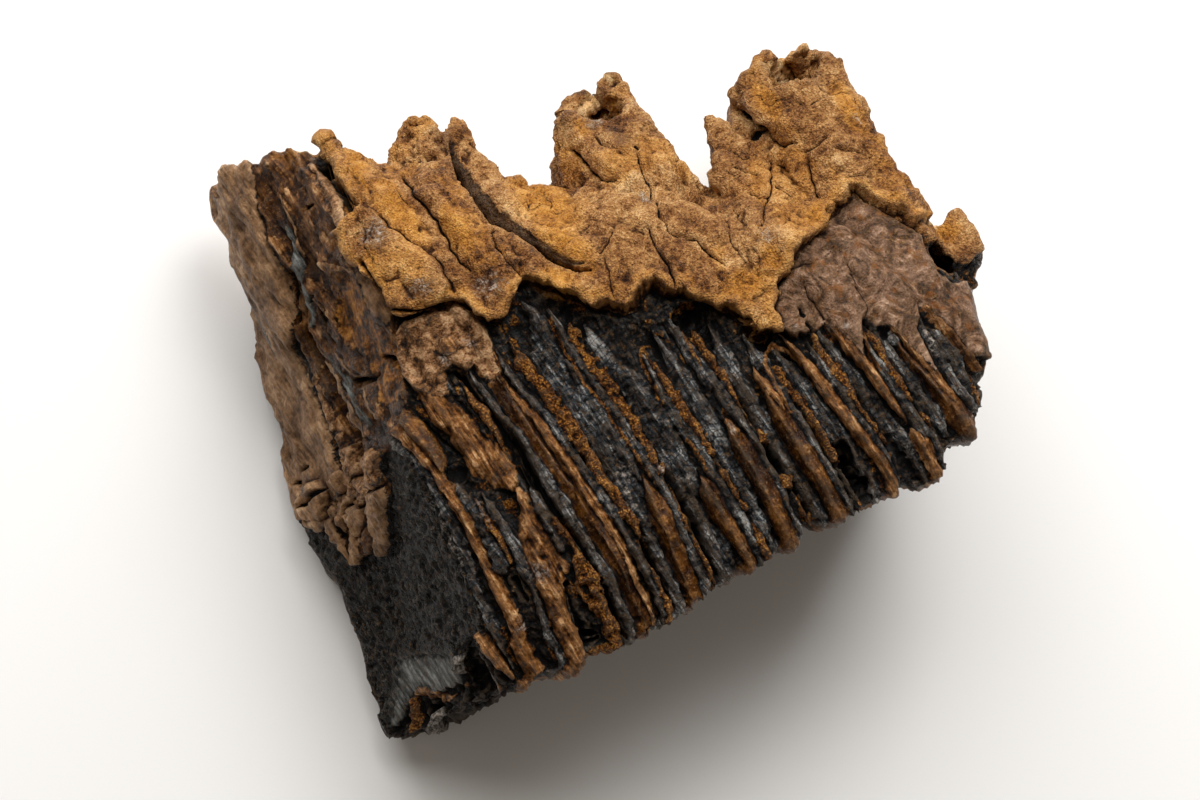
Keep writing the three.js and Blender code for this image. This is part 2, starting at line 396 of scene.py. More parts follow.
# %% The outline, x and y in mm
OUTLINE = [
    # the chewing edge, from right to left
    (92.5, -6), (92, -9), (88.5, -12.5), (87.5, -16.5), (84, -20.5), (84.5, -24), (82.5, -27), (82, -32),
    (80.5, -36), (74.5, -39.5), (74, -41), (68.5, -45), (65, -44.5), (61, -46), (60, -48.5), (53, -50),
    (50.5, -48.5), (49.5, -46), (47.5, -48), (43, -49), (39.5, -48), (38, -49.5), (34.5, -47.5),
    (33.5, -48), (30, -48.5), (28.5, -46.5), (24.5, -46.5), (23, -49), (19, -48), (15.5, -48.5),
    (14.5, -49.5), (11, -49.5), (9.5, -48), (6.5, -50), (1, -49.5), (-0.5, -51), (-3.5, -50), (-6, -51.5),
    (-12, -52), (-15, -51), (-18, -53), (-21, -53), (-25.5, -51), (-28, -53), (-36, -51.5), (-42, -51),
    (-45, -52.5), (-51, -53.5), (-55.5, -52.5), (-58, -51), (-65.5, -49.5), (-70.5, -47), (-74.5, -43.5),
    (-75, -41.5), (-75, -39.5), (-76, -38), (-75.5, -37), (-76.5, -36), (-74.5, -32),
    # the left end, which falls away gently to the floor
    (-73, -27.5), (-71.5, -21.5), (-69.5, -6.5), (-71, 1), (-70.5, 3.5), (-71.5, 8), (-71, 12), (-73, 14),
    (-79, 18), (-78, 30), (-73, 44), (-66, 58), (-62.5, 68),
    # the ragged top of the left end
    (-59.5, 71), (-57, 77), (-58, 80), (-58, 84), (-56.5, 89), (-55.5, 91), (-54, 92), (-50, 90.5),
    (-48.5, 89), (-46, 88.5), (-43, 85), (-40.5, 87), (-38, 85), (-35.5, 85), (-34.5, 82.5), (-33, 82.5),
    (-31, 79),
    # the first blade, and the dip to the second root
    (-30.5, 80.5), (-30, 81.5), (-29, 81.5), (-28, 80.5), (-27, 75.5), (-22.5, 70.5), (-19.5, 72),
    (-15, 73), (-12, 77), (-11, 77), (-10, 78.5), (-9, 78), (-8, 78.5), (-5, 77), (-4.5, 74.5),
    (-3.5, 74), (-3.5, 71), (-3, 71),
    # the second blade, and the long dip to the third root
    (-2.5, 72.5), (0, 74), (2, 73), (1.5, 60.5), (3.5, 54), (4, 53.5), (8, 54.5), (11.5, 53.5),
    (15, 54.5), (17.5, 56),
    # the third root: its left edge, a lobe, a notch and a sharp prong
    (18, 58.5), (19.5, 61), (21, 63), (22.5, 64), (24.5, 68), (26.5, 68), (30.5, 67), (31.5, 63.5),
    (32.5, 64.5), (33, 66.5), (34.5, 68), (36.5, 68.5), (37.5, 68), (38.5, 66.5), (38.5, 64.5),
    (38.5, 54), (39.5, 48), (39.5, 43.5), (41, 37.5),
    # the spike, and the last root with its broken rim
    (41.5, 35.5), (42.5, 33), (44.5, 33), (47, 35.5), (48, 38), (50.5, 49), (51.5, 49.5), (53, 46.5),
    (55, 44.5), (58, 50.5), (59.5, 52), (64.5, 53.5), (67.5, 56), (69.5, 56), (71, 54), (72.5, 53.5),
    (78, 53.5), (79, 52), (82, 51), (83, 46.5), (82.5, 44), (83, 37), (83, 33.5), (82.5, 32),
    (82.5, 27.5), (81.5, 20.5), (81.5, 14), (83.5, 8), (83.5, 5), (82.5, 3),
    # the stump on the right
    (84.5, 3), (87, 2), (89.5, 4.5), (92, 4), (93, -2),
]
print("outline of", len(OUTLINE), "corners")

# %% Saw it out
# Along the chewing face the saw leans inwards below the edge, whose own height is given here for some x.
SAW_LEAN = 0.2  # mm inwards for each mm down, which is 11 degrees
corners = np.array(OUTLINE, float)
edge_height = np.interp(corners[:, 0], (-76, -52, -42, 76, 92), (16, 52, 70, 70, 53))
leaning = ramp(-corners[:, 1], 0, 12)
rings = []
for z in (-4, 100):  # from below the floor to above the tooth
    y = corners[:, 1] + SAW_LEAN * leaning * (edge_height - z)
    rings += [to_frame(x, y, z) for x, y in zip(corners[:, 0], y)]
count = len(OUTLINE)
sides = [(i, (i + 1) % count, count + (i + 1) % count, count + i) for i in range(count)]
saw = bpy.data.meshes.new("outline")
saw.from_pydata(rings, [], [list(range(count)), list(range(count, 2 * count))] + sides)
sawn = bpy.data.objects.new("outline", saw)
bpy.context.collection.objects.link(sawn)
pick(sawn)
bpy.ops.object.mode_set(mode="EDIT")
bpy.ops.mesh.select_all(action="SELECT")
bpy.ops.mesh.quads_convert_to_tris()
bpy.ops.mesh.normals_make_consistent(inside=False)
bpy.ops.object.mode_set(mode="OBJECT")
apply(molar, "BOOLEAN", object=sawn, operation="INTERSECT", solver="MANIFOLD")
bpy.data.objects.remove(sawn)

# %% Scoop out the hollows
# Each is a stretched sphere: centre and radii in mm.
HOLLOWS = [
    (30.6, 60.8, 54.0, 6.2, 4.8, 16.0),  # the third root's pulp canal
    (26.0, 64.6, 57.0, 3.2, 4.4, 10.0),
    (72.4, 49.0, 57.0, 6.6, 4.8, 16.0),  # the last root's canal
    (78.4, 50.0, 57.0, 3.2, 3.2, 12.0),
    (-52.5, 91.0, 27.0, 3.4, 7.0, 5.0),  # the first root's canal
    (81.4, -6.0, 60.0, 2.8, 4.4, 12.0),  # under the stump on the right
    (-50.8, -43.5, 57.0, 4.4, 7.0, 6.5),  # broken corner on the left
    (-62.4, -44.8, 50.0, 2.2, 1.8, 8.0),
    (-69.6, -39.0, 44.0, 2.6, 1.5, 12.0),
    (-29.0, -14.6, 77.0, 1.2, 2.8, 4.5),  # under the broken end of the first cement ridge
    (-36.2, -2.8, 75.0, 1.5, 1.4, 4.0),
    (-30.8, 76.2, 60.0, 1.2, 3.6, 6.0),  # between the left end and the first blade
    (-3.7, 73.8, 60.0, 1.5, 3.6, 20.0),  # between the two blades of the second root
    (24.0, 4.6, 77.0, 3.6, 2.6, 5.0),  # under the cap's edge
    (36.2, -4.4, 77.0, 1.5, 3.4, 4.0),
]
for x, y, z, rx, ry, rz in HOLLOWS:
    bpy.ops.object.select_all(action="DESELECT")
    bpy.ops.mesh.primitive_uv_sphere_add(segments=24, ring_count=14, radius=MM, location=to_frame(x, y, z))
    cutter = bpy.context.active_object
    cutter.scale = (rx, ry, rz)
    bpy.ops.object.transform_apply(location=True, rotation=False, scale=True)
    apply(molar, "BOOLEAN", object=cutter, operation="DIFFERENCE", solver="MANIFOLD")
    bpy.data.objects.remove(cutter)
apply(molar, "REMESH", mode="VOXEL", voxel_size=0.95 * COARSE * MM)
apply(molar, "SMOOTH", factor=0.5, iterations=2)

# %% [markdown]
# ## A finer skin where it is seen closest
# The cheek side and the broken left end hold the finest relief, so their faces are split in nine. The rest
# keeps the coarser skin, which saves faces.

# %% Split the upper faces
UPWARDS = 0.12  # how far up a face must look, from 0 for level to 1
pick(molar)
bpy.ops.object.mode_set(mode="EDIT")
bpy.ops.mesh.select_all(action="DESELECT")
bpy.ops.object.mode_set(mode="OBJECT")
face_normals = np.empty(len(molar.data.polygons) * 3, np.float32)
molar.data.polygons.foreach_get("normal", face_normals)
molar.data.polygons.foreach_set("select", face_normals.reshape(-1, 3)[:, 2] > UPWARDS)
bpy.ops.object.mode_set(mode="EDIT")
bpy.ops.mesh.select_mode(type="FACE")
bpy.ops.mesh.subdivide(number_cuts=2)
bpy.ops.object.mode_set(mode="OBJECT")
print("finer skin:", len(molar.data.vertices), "vertices")

# %% [markdown]
# ## Fine relief on the cheek side
# Each plate shows as a rough rib of orange dentine between two bands of wrinkled grey enamel. Ridges of
# glossy brown cement stand between the plates, and where the cement is gone there is a deep black groove.
# Bare black enamel is the starting level, and every strip rises from it, so strips never need trimming
# against each other.

# %% Strips of enamel: stations of y, x and half width in mm, from the chewing face up
ENAMEL = [
    [(-42, -43.8, 0.2), (-40, -43.9, 0.9), (-34, -44, 0.9), (-25, -43.8, 0.9), (-20, -42.5, 1.3),
     (-10, -42, 1.1), (0, -42.2, 1.1), (5, -43.5, 1), (9, -45, 0.9), (14.5, -45.6, 0)],
    [(-28, -36.6, 0), (-26, -36.6, 1.3), (-15, -36.8, 1.5), (-8, -37.2, 1.2), (-5, -37, 0)],
    [(-50, -34.3, 0.4), (-45, -34, 1), (-38, -33, 0.9), (-33, -32.5, 0.7), (-25, -32.1, 1.2),
     (-18, -32.2, 1), (-12, -33, 0.8), (-9, -33.2, 0)],
    [(-28.5, -23.6, 0), (-27.5, -23.6, 1), (-20, -23.6, 1.1), (-15, -23.6, 0.8), (-13, -23.8, 0)],
    [(-46, -17, 0), (-44, -16.8, 0.9), (-38, -16.2, 1.1), (-28, -17.3, 0.8), (-24, -17.8, 1.1),
     (-18, -18.6, 1.1), (-12, -19, 1.1), (-5, -19.5, 0.9), (0, -20.7, 0.8), (10, -22.6, 0.8), (17, -24, 0)],
    [(-46, -9, 0.3), (-42, -9, 0.9), (-36, -9.3, 0.7), (-30, -9.4, 0.9), (-24, -10, 1.2), (-16, -11.2, 1.1),
     (-10, -12, 1.2), (0, -13.6, 1.1), (6, -15.4, 1), (12, -16.4, 0.9), (18, -16.6, 0)],
    [(-47, -4.3, 0.2), (-44, -4.6, 1.1), (-38, -4.6, 0.9), (-30, -4.5, 1), (-24, -4, 1.5), (-18, -3.9, 1.7),
     (-12, -4.6, 1.3), (0, -6.2, 1.5), (6, -7.6, 1.5), (12, -7.2, 1.7), (18, -5.6, 1.8), (25, -6.4, 0)],
    [(-22, -1.6, 0), (-18, -2, 1.4), (-10, -3, 2), (-4, -3, 2), (4, -3.2, 1.5), (10, -4.4, 0)],
    [(-49, 0.8, 0.3), (-45, 1.2, 1), (-36, 1.9, 1.1), (-28, 2.5, 0.8), (-22, 2, 1.1), (-14, 1.2, 1.1),
     (-6, 0.5, 1), (2, -0.6, 1), (8, -1.4, 0.9), (14, -1.8, 0.8), (22, -2, 0)],
    [(-49, 7, 0.5), (-42, 7.6, 1.5), (-36, 7, 0.9), (-30, 7.4, 1), (-25, 8, 1.6), (-20, 7.6, 1.9),
     (-14, 7.8, 2.6), (-2, 7, 2.4), (2, 5, 1.5), (8, 3.6, 1.2), (14, 3, 0)],
    [(-46, 14.4, 0.4), (-42, 14.6, 1), (-36, 14.3, 1.3), (-30, 13.8, 0.8), (-24, 13.2, 1.3), (-16, 12, 1.6),
     (-8, 11.2, 0.9), (4, 12, 0)],
    [(-48, 19, 0.4), (-44, 18.6, 1), (-36, 18.2, 1), (-24, 18, 1), (-14, 17.5, 1.2), (-2, 16.4, 1.3),
     (5, 15.5, 0)],
    [(-46, 24.6, 0.4), (-42, 24.7, 0.9), (-34, 24.8, 1), (-28, 24.7, 0.8), (-22, 24.2, 0.9),
     (-18, 23.6, 1.3), (-12, 22.6, 1.6), (0, 21, 1.3), (6, 20, 0)],
    [(-47, 31, 0.5), (-42, 30.3, 0.9), (-36, 29.4, 0.8), (-24, 28.6, 1), (-18, 28.2, 1.1), (-12, 27.8, 0.7),
     (-6, 27.2, 1.2), (2, 26.8, 0)],
    [(-46, 37.2, 0.4), (-40, 36.6, 0.9), (-34, 36, 1), (-22, 35, 1), (-10, 34, 1.3), (-3, 32.6, 0)],
    [(-46, 43.8, 0.4), (-42, 43, 1), (-34, 41.8, 1.1), (-20, 39.9, 1), (-14, 38.7, 1), (-8.5, 37, 0)],
    [(-44, 49.2, 0.3), (-40, 48.6, 0.9), (-32, 47.2, 0.9), (-18, 45.2, 0.9), (-10, 44.4, 0)],
    [(-46, 54, 0.4), (-42, 53.6, 1.2), (-36, 52.2, 1.1), (-30, 51, 1), (-16, 49.2, 0.9), (-9.5, 48.4, 0)],
    [(-47, 60.4, 0.3), (-43, 59.6, 0.9), (-38, 58, 1.3), (-32, 57.2, 1.2), (-24, 56.6, 0.9),
     (-12.5, 55.2, 0)],
    [(-42, 63, 0.3), (-38, 62.7, 1), (-30, 61.9, 1), (-24, 60.8, 0.8), (-18, 60, 0)],
    [(-41, 72, 0.3), (-39, 71, 1.3), (-34, 69.7, 1), (-28, 69, 1.1), (-22, 68.6, 1.1), (-17.5, 69, 0)],
    [(-34, 73, 0.3), (-31, 72.8, 0.9), (-26, 72.2, 0.9), (-19, 71, 0)],
    [(-20.5, 62.4, 0), (-19, 62, 0.9), (-16, 61.6, 0)],
    [(-15.5, 53.5, 0), (-14, 53.2, 0.8), (-10.5, 52, 0)],
]
print(len(ENAMEL), "strips of enamel")

# %% Strips of dentine
DENTINE = [
    [(-27, -34.4, 0), (-25, -34.4, 0.5), (-18, -34.5, 0.7), (-9, -35.2, 0)],
    [(-48.5, -22.3, 1.3), (-46, -22.2, 1.8), (-42, -21.4, 1.7), (-36, -20.8, 1.6), (-31, -20.6, 1.2),
     (-26, -21, 0)],
    [(-33.5, -6.8, 0), (-32, -6.9, 1), (-26, -7.4, 1), (-20, -8.2, 1.1), (-10, -8.7, 1.1), (0, -10.3, 1.3),
     (6, -11.2, 1.5), (12, -12.2, 1.5), (18, -13, 0)],
    [(-48, -8, 0.4), (-44, -7.7, 0.8), (-38.5, -7.7, 0)],
    [(-44, 3.4, 0.3), (-40, 3.7, 0.7), (-32, 3.8, 0.6), (-27, 3.9, 0)],
    [(-23.5, 4, 0), (-22.5, 4, 0.9), (-12, 3, 0.8), (-6, 2.6, 1.2), (0, 1.6, 1.3), (6, 0.9, 1.5),
     (12, 0.4, 1.6), (16, 0.2, 0)],
    [(-48, 16.2, 0.8), (-45, 16.4, 1.2), (-40, 16.2, 0)],
    [(-39, 16.2, 0), (-37.5, 16.4, 0.9), (-35.5, 16.2, 0.4), (-28, 15.8, 0.5), (-25.5, 15.6, 0)],
    [(-24.8, 15.6, 0), (-24, 15.4, 0.9), (-18, 14.8, 0.9), (-12, 13.9, 1), (-6, 13.4, 1), (2, 12.6, 0)],
    [(-48, 27.8, 0.4), (-44, 27.4, 0.7), (-40.5, 27.3, 0)],
    [(-39, 27.3, 0), (-37, 27, 1.1), (-35, 26.6, 1), (-33.5, 26.6, 0)],
    [(-28, 26.6, 0), (-26.5, 26.7, 0.9), (-23, 26.6, 0)],
    [(-20, 25.6, 0), (-16, 25.2, 0.5), (-8, 24.6, 0.7), (0, 23.8, 0.7), (3, 23.4, 0)],
    [(-38, 39.2, 0), (-36.5, 39.1, 0.6), (-28, 38.1, 0.6), (-22, 37.4, 0.7), (-12.5, 36, 1),
     (-11, 35.8, 0)],
    [(-39, 50.4, 0), (-36, 49.9, 0.5), (-30, 48.6, 0.5), (-24, 47.8, 1), (-12, 46.6, 0.8), (-9.5, 46.4, 0)],
    [(-40, 60.3, 0.2), (-37, 60, 0.7), (-35.5, 59.8, 0)],
    [(-34, 59.2, 0), (-32, 59, 0.6), (-26, 58.3, 0.7), (-16, 57.7, 0.6), (-14.5, 57.6, 0)],
    [(-2, -25, 0), (2, -24.7, 0.7), (8, -25.6, 0.8), (15, -27, 0)],
]
print(len(DENTINE), "strips of dentine")

# %% Strips of dark and of tan cement
DARK_CEMENT = [
    [(-2, -38.3, 0), (0, -38.3, 1), (4, -38.6, 1.7), (10, -40.2, 1.7), (15, -41, 1.4), (18, -42, 0)],
    [(-49.5, -13.4, 1.2), (-44, -13.3, 1.8), (-38, -13.2, 1.7), (-32, -13.2, 2), (-26, -14.3, 1.8),
     (-20, -15.2, 1.5), (-12, -16.7, 1.5), (-5, -17.4, 1.5), (0, -18, 1.4), (6, -18.6, 1.4),
     (12, -19.2, 1.2)],
    [(-49.5, -2.6, 1.2), (-44, -1.9, 1.6), (-38, -1.2, 2), (-32, -0.7, 2.6), (-27, -0.9, 1.7),
     (-21, -0.4, 0)],
    [(-49, 12.6, 1.6), (-44, 12.2, 1.5), (-38, 11.2, 1.9), (-33, 10.7, 2.2), (-30, 10.7, 1.9),
     (-27, 10.8, 0)],
    [(-49, 22, 1.6), (-42, 22.2, 1.9), (-34, 21.9, 2.1), (-28, 21.4, 2.2), (-23, 20.9, 1.7),
     (-18, 20.9, 0)],
    [(-47.5, 34.2, 1.8), (-42, 33.8, 1.9), (-36, 33.2, 2.1), (-28, 32.3, 2.2), (-22, 31.8, 1.8),
     (-16, 31.3, 0)],
    [(-43, 68, 2), (-39, 66.8, 2.4), (-33, 65, 1.6), (-26, 63.2, 1.2), (-21, 62.2, 0.5), (-19, 62, 0)],
]
TAN_CEMENT = [
    [(-49, -45, 0.5), (-47, -43, 1.2), (-45, -41, 1.8), (-42, -40, 1.9), (-36, -39, 1.4), (-24, -39.3, 1.1),
     (-10, -38.8, 1.3), (0, -40, 1.3), (6, -41.5, 1.4), (12, -43, 1.3), (16, -43.5, 0)],
    [(-50, -30.5, 1.5), (-46, -30.5, 2.4), (-40, -29.8, 2.2), (-36, -28.8, 2.6), (-31, -28.6, 3),
     (-27, -28, 2.6), (-22, -27.6, 2.4), (-18, -26.6, 1.4), (-11, -25.5, 0)],
    [(-11.5, -26.5, 0), (-10.5, -26.8, 1.3), (-7, -28.5, 2.8), (-2, -29.8, 3), (4, -31.4, 2.6),
     (10, -32.6, 2.4), (16, -33.8, 2), (20, -34.5, 0)],
    [(-46, -12, 0), (-40, -11.6, 0.7), (-32, -11.4, 1), (-26, -12.2, 1.5), (-20, -13.2, 1.6),
     (-12, -13.9, 1.5), (-5, -14.8, 1.3), (0, -15.8, 1.1), (6, -17.4, 0.8), (10, -18, 0)],
    [(12, -19, 0.3), (14, -19.2, 1.8), (17, -19.4, 2.2), (22, -19.4, 1.5)],
    [(-24, 21.5, 0), (-22, 21.6, 0.9), (-19, 21.2, 0.9), (-17.5, 21, 0)],
    [(-24, 33.4, 0), (-20, 32.6, 1), (-16, 31.7, 1.2), (-12, 31.3, 0.6), (-10, 31.3, 0)],
    [(-48.5, 49, 1), (-44, 48, 1.4), (-38, 46.2, 1.5), (-30, 44.7, 1.4), (-24, 43.4, 1.3), (-18, 42.6, 1.1),
     (-13, 41.4, 0.9), (-7, 40, 0)],
    [(-47.5, 57.5, 1.7), (-44, 57, 1.7), (-40, 56, 1.3), (-38, 55.6, 0)],
    [(-37, 55.6, 0), (-34, 55.3, 0.7), (-28, 54.4, 1.2), (-22, 53.5, 1.4), (-12, 51.4, 1.3),
     (-9, 50.8, 1.2)],
    [(-38, 67.6, 0), (-36, 66.8, 1.3), (-30, 66, 1.1), (-24, 65, 1.1), (-19, 63.9, 1), (-13, 62.5, 1)],
    [(-33, 76, 0.6), (-28, 74.8, 1.2), (-22, 73.4, 1.1), (-13, 70.8, 0)],
    [(-45, -45.4, 0), (-43, -45.8, 1.3), (-38, -46.6, 0.9), (-35, -46.8, 0)],
]
print(len(DARK_CEMENT) + len(TAN_CEMENT), "strips of cement")

# %% Grooves where the cement is gone
GROOVES = [
    [(-50, -19.5, 1.6), (-44, -19.5, 0.9), (-40, -18.3, 0.8), (-30, -18.8, 0.8), (-25, -19.6, 0.7),
     (-20, -20.8, 1.2), (-15, -21.3, 1.1), (-12, -22.5, 2), (-5, -22.9, 2.2), (0, -23.6, 1.6),
     (5, -24.2, 1.3), (10, -25, 1.2), (15, -26, 1.4), (18, -27, 0.6)],
    [(-51, -26.5, 1.6), (-44, -26.2, 1.5), (-40, -25.6, 0.6), (-25, -24.8, 0.4), (-9, -24.4, 0.7),
     (-5, -25, 0.8)],
    [(-35, -35.6, 0.8), (-28.5, -36, 1)],
    [(-46, -6.8, 0.6), (-41, -6.9, 0.6), (-36, -6.5, 1.1), (-32, -6.2, 0.7), (-20, -5.8, 0.6),
     (-10, -6.4, 0.7), (-5, -6.9, 0.7), (0, -8, 0.5)],
    [(-46, -10.4, 0.3), (-36, -10.2, 0.5), (-30, -10, 0.4), (-17, -9.4, 0.5), (-12, -9.8, 0.6),
     (-9, -11, 0.5)],
    [(-49, 4.4, 1.7), (-42, 4.9, 1.4), (-36, 5.5, 1), (-28, 5.2, 1.6), (-23.5, 5, 1.6), (-21, 5.3, 0.7),
     (-14, 4.7, 0.6), (-5, 4.3, 0.6), (0, 4, 0.4)],
    [(-30, 16.8, 0.4), (-24, 17, 0.6), (-20, 16.6, 0.5)],
    [(-16, 18.3, 0.6), (-12, 18.6, 0.7), (-8, 17.6, 0.6), (-3, 17.2, 0.4)],
    [(-9, 15.2, 0.5), (-5, 15.8, 0.7), (-3, 16, 0.4)],
    [(-47, 28.8, 0.5), (-40, 28.5, 1), (-36, 27.4, 1.2), (-30, 26.8, 1.2), (-27, 26.9, 0.6),
     (-20, 26.6, 0.9), (-14, 26.6, 0.8), (-8, 26.4, 0.8), (-3, 26.4, 0.6)],
    [(-36, 29.9, 0.3), (-20, 29.9, 0.4)],
    [(-48, 42.4, 1.2), (-44, 41.8, 1.7), (-40, 41, 1.6), (-36, 40.6, 0.9), (-30, 40.8, 0.5),
     (-26, 40.2, 0.7), (-20, 39.4, 0.8), (-15, 38.6, 0.7), (-11, 38.8, 0.9)],
    [(-44, 38.6, 0.5), (-38, 38.4, 0.8), (-33, 37.4, 1), (-28, 36.6, 1), (-25, 36.4, 0.4)],
    [(-31, 49.2, 0.4), (-25, 49, 0.4), (-18, 48.6, 0.4), (-14, 48.6, 0.7), (-10, 47.7, 0.7), (-8, 47, 0.5)],
    [(-44, 61, 0.6), (-36, 59.4, 1.1), (-33.5, 59.4, 1), (-32.5, 59.2, 0.6), (-26, 59.2, 0.6),
     (-20, 59.4, 0.6), (-15.5, 58.6, 1), (-12, 58, 0.5)],
    [(-29, 62.9, 0.3), (-26, 62.3, 0.5), (-22, 61.6, 0.4)],
    [(-35, 61.8, 1.2), (-34, 62.4, 0.8)],
    [(-34, 71.6, 0.9), (-31, 70.6, 0.8), (-26, 70.5, 0.7), (-22, 70.2, 0.6), (-16.5, 69.9, 0.4)],
    [(-32, 73.6, 0.8), (-30, 73.2, 0.8)],
    [(-37, 77.6, 0.6), (-33, 78, 0.9), (-31, 78.4, 0.3)],
]
print(len(GROOVES), "grooves")

# %% Outlines of the cap and of the cement that spreads over the plates, x and y in mm
CAP = [
    (-110, 130), (-30, 90), (-30, 59), (-34.5, 57), (-35, 51), (-33.3, 45), (-32, 40), (-31.8, 35),
    (-30, 34), (-27, 32.6), (-22, 32), (-19, 30.8), (-17.5, 30), (-17, 27), (-15.5, 24), (-12.5, 22.8),
    (-9.5, 24), (-7.5, 26.5), (-5, 29), (-2, 26), (1, 23.6), (3, 21.5), (5, 18.5), (9.5, 15.2),
    (12.5, 11.7), (14.5, 12.5), (16, 14), (18, 15), (20, 14.6), (23.8, 11.8), (25.5, 11.5), (27, 7.5),
    (29, 6), (31, 4), (33, 1.5), (35, -1), (37, -4.5), (39, -7), (40.3, -7), (41.7, -1), (43, 1), (45, 3.5),
    (49, 5), (50, 7.8), (53, 8.2), (56, 9), (60, 11), (62, 13), (67, 15.5), (70, 16.5), (72, 14),
    (73.5, 10.5), (76, 9), (78, 5), (80, 1.5), (84, 5), (100, 8), (100, 130),
]
FLAKE = [
    (-34.5, 57), (-28, 58.5), (-25.5, 54), (-23, 47.5), (-20.5, 43.5), (-19.5, 38), (-19.2, 31.2),
    (-22, 32), (-27, 32.8), (-30, 34), (-32, 35), (-32, 40), (-33.3, 45), (-34.8, 51),
]
SMOOTH_CEMENT = [
    (41.5, -2), (44, 1), (48, 4.5), (50, 8), (60, 11), (64, 14.5), (70, 17), (72.5, 12), (76, 9), (80, 2),
    (79, -1), (78, -10), (80, -12.5), (86, -13), (96, -10), (96, -34), (82, -31.5), (76, -30), (75, -24),
    (72.5, -16), (70.5, -14), (69.5, -17.5), (67.5, -19), (67, -30), (64.5, -22), (62.5, -15), (60, -15),
    (59, -12), (57.5, -12), (55.5, -16), (54, -19), (52, -12), (50, -9), (47.6, -9.5), (43, -9), (40.5, -6),
]
STUMP = [(79, 3), (96, 8), (96, -6), (88, -8.5), (85, -7), (83.5, -4.5), (81.5, -2.5), (79.5, -0.5)]
ROUGH_CEMENT = [
    (-38, 24), (-36, 30), (-31, 32.5), (-20, 31.5), (-17.5, 27), (-16.5, 21), (-18, 13), (-20, 12),
    (-22, 17), (-24.5, 16.5), (-26, 19), (-28.5, 18), (-30.5, 14), (-33, 14), (-36, 18),
]
print("cap of", len(CAP), "corners")

# %% Outlines of the broken left end
GLOSSY_HOLLOW = [
    (-38.9, 52.1), (-35.6, 49.9), (-36.5, 42.8), (-38, 36.8), (-35.5, 29.8), (-37.1, 23.1), (-41.4, 17.8),
    (-43.9, 20.2), (-43.9, 27.7), (-42.5, 33), (-45.4, 39.7), (-43, 46.1),
]
FAR_LEFT = [
    (-120, 120), (-44, 96), (-46, 84), (-49, 76), (-49.6, 68), (-50, 60), (-52, 54), (-54, 50), (-55.6, 46),
    (-56.4, 36), (-56.6, 28), (-57.6, 20), (-58, 12), (-66, 10), (-70, 14), (-120, 16),
]
BROWN_LEFT = [
    (-54, 51), (-50, 60), (-49.6, 68), (-48, 80), (-44, 96), (-33, 95), (-31.5, 58), (-36, 55), (-35, 49),
    (-33.5, 44), (-33, 36), (-34, 30), (-37, 24), (-38, 18), (-41, 14), (-46, 11), (-50, 9), (-54, 7),
    (-56, 16), (-56, 30),
]
SLAB = [
    (-35.4, 47.6), (-33.2, 45.2), (-32.6, 40.9), (-32, 35.6), (-34.7, 33.4), (-36.8, 36.5), (-36.2, 41.3),
]
CHARCOAL = [
    (-120, 16), (-70, 14), (-66, 10), (-58, 6), (-52, 8), (-48, 12), (-45.5, 9), (-44, 5), (-43, 0),
    (-42.8, -10), (-43.3, -20), (-44.8, -27), (-46, -34), (-50, -34.5), (-55, -34), (-60, -30), (-65, -27),
    (-69, -32), (-73, -37), (-120, -38),
]
BROKEN_CORNER = [
    (-78, -37.6), (-73, -38.6), (-70, -38), (-67, -36.4), (-64, -36.4), (-60, -39.4), (-56, -40.5),
    (-55, -38.6), (-52.6, -36.2), (-49, -35.6), (-47, -37), (-47.4, -42), (-46, -44.5), (-44.6, -48.6),
    (-46, -53), (-70, -54), (-80, -44),
]
BROKEN_END = [(-14.8, 64.6), (-13.4, 66), (-10, 65.2), (-5, 65.6), (-4.2, 67), (-4, 82), (-18, 82), (-17, 72)]
SLATE = [
    (-78, -42), (-73, -37), (-68, -31), (-65, -27), (-62, -28.5), (-59, -31), (-55.5, -34), (-54.5, -39),
    (-57, -41.5), (-60, -41.5), (-63, -38), (-66, -36), (-69, -38), (-72, -41.5),
]
print("charcoal break of", len(CHARCOAL), "corners")

# %% [markdown]
# The carving gives every vertex a push along its normal, and how much of each finish it shows, so shape and
# colour always agree. The strips are raised first, then areas of cement, charcoal and cap are laid over them.

# %% Where each vertex is, for strips and for areas
SLANT = 0.13  # mm that the strips run to the left for each mm towards the roots
CREST = 70  # mm, the height from which a plate's lean is counted
TURN = -42.5  # mm, y where the cheek side turns into the chewing face
CROWN_LEFT, CROWN_RIGHT = -43, 86  # mm, x between which the lean changes
points = points_of(molar)
normals = normals_of(molar)
# A plate runs to the left as it goes down: 0.5 mm for each mm at the left end, and less to the right.
lean = 0.5 - 0.24 * np.clip((points[:, 0] - CROWN_LEFT) / (CROWN_RIGHT - CROWN_LEFT), 0, 1)
front = ramp(-normals[:, 1], 0.35, 0.7) * ramp(-points[:, 1], 28, 36)  # 1 on the chewing face
# On the chewing face the plates carry on downwards, so strips are read where each plate meets the edge.
spot = points.copy()
spot[:, 0] += front * lean * np.clip(CREST + 2 - points[:, 2], 0, None)
spot[:, 1] = np.maximum(points[:, 1], TURN + 1.5 * noise(points, 4, seed=10))
drift = np.zeros_like(points)
drift[:, 0] = 0.3 * noise(points, (2.2, 6, 5), seed=11, octaves=3)
drift[:, 1] = 0.8 * noise(points, 3, seed=12, octaves=3)
area = points + drift
wobble = spot + drift
tilted = wobble + np.outer(wobble[:, 1], (SLANT, 0, 0))
print("drift up to", np.abs(drift).max().round(2), "mm")

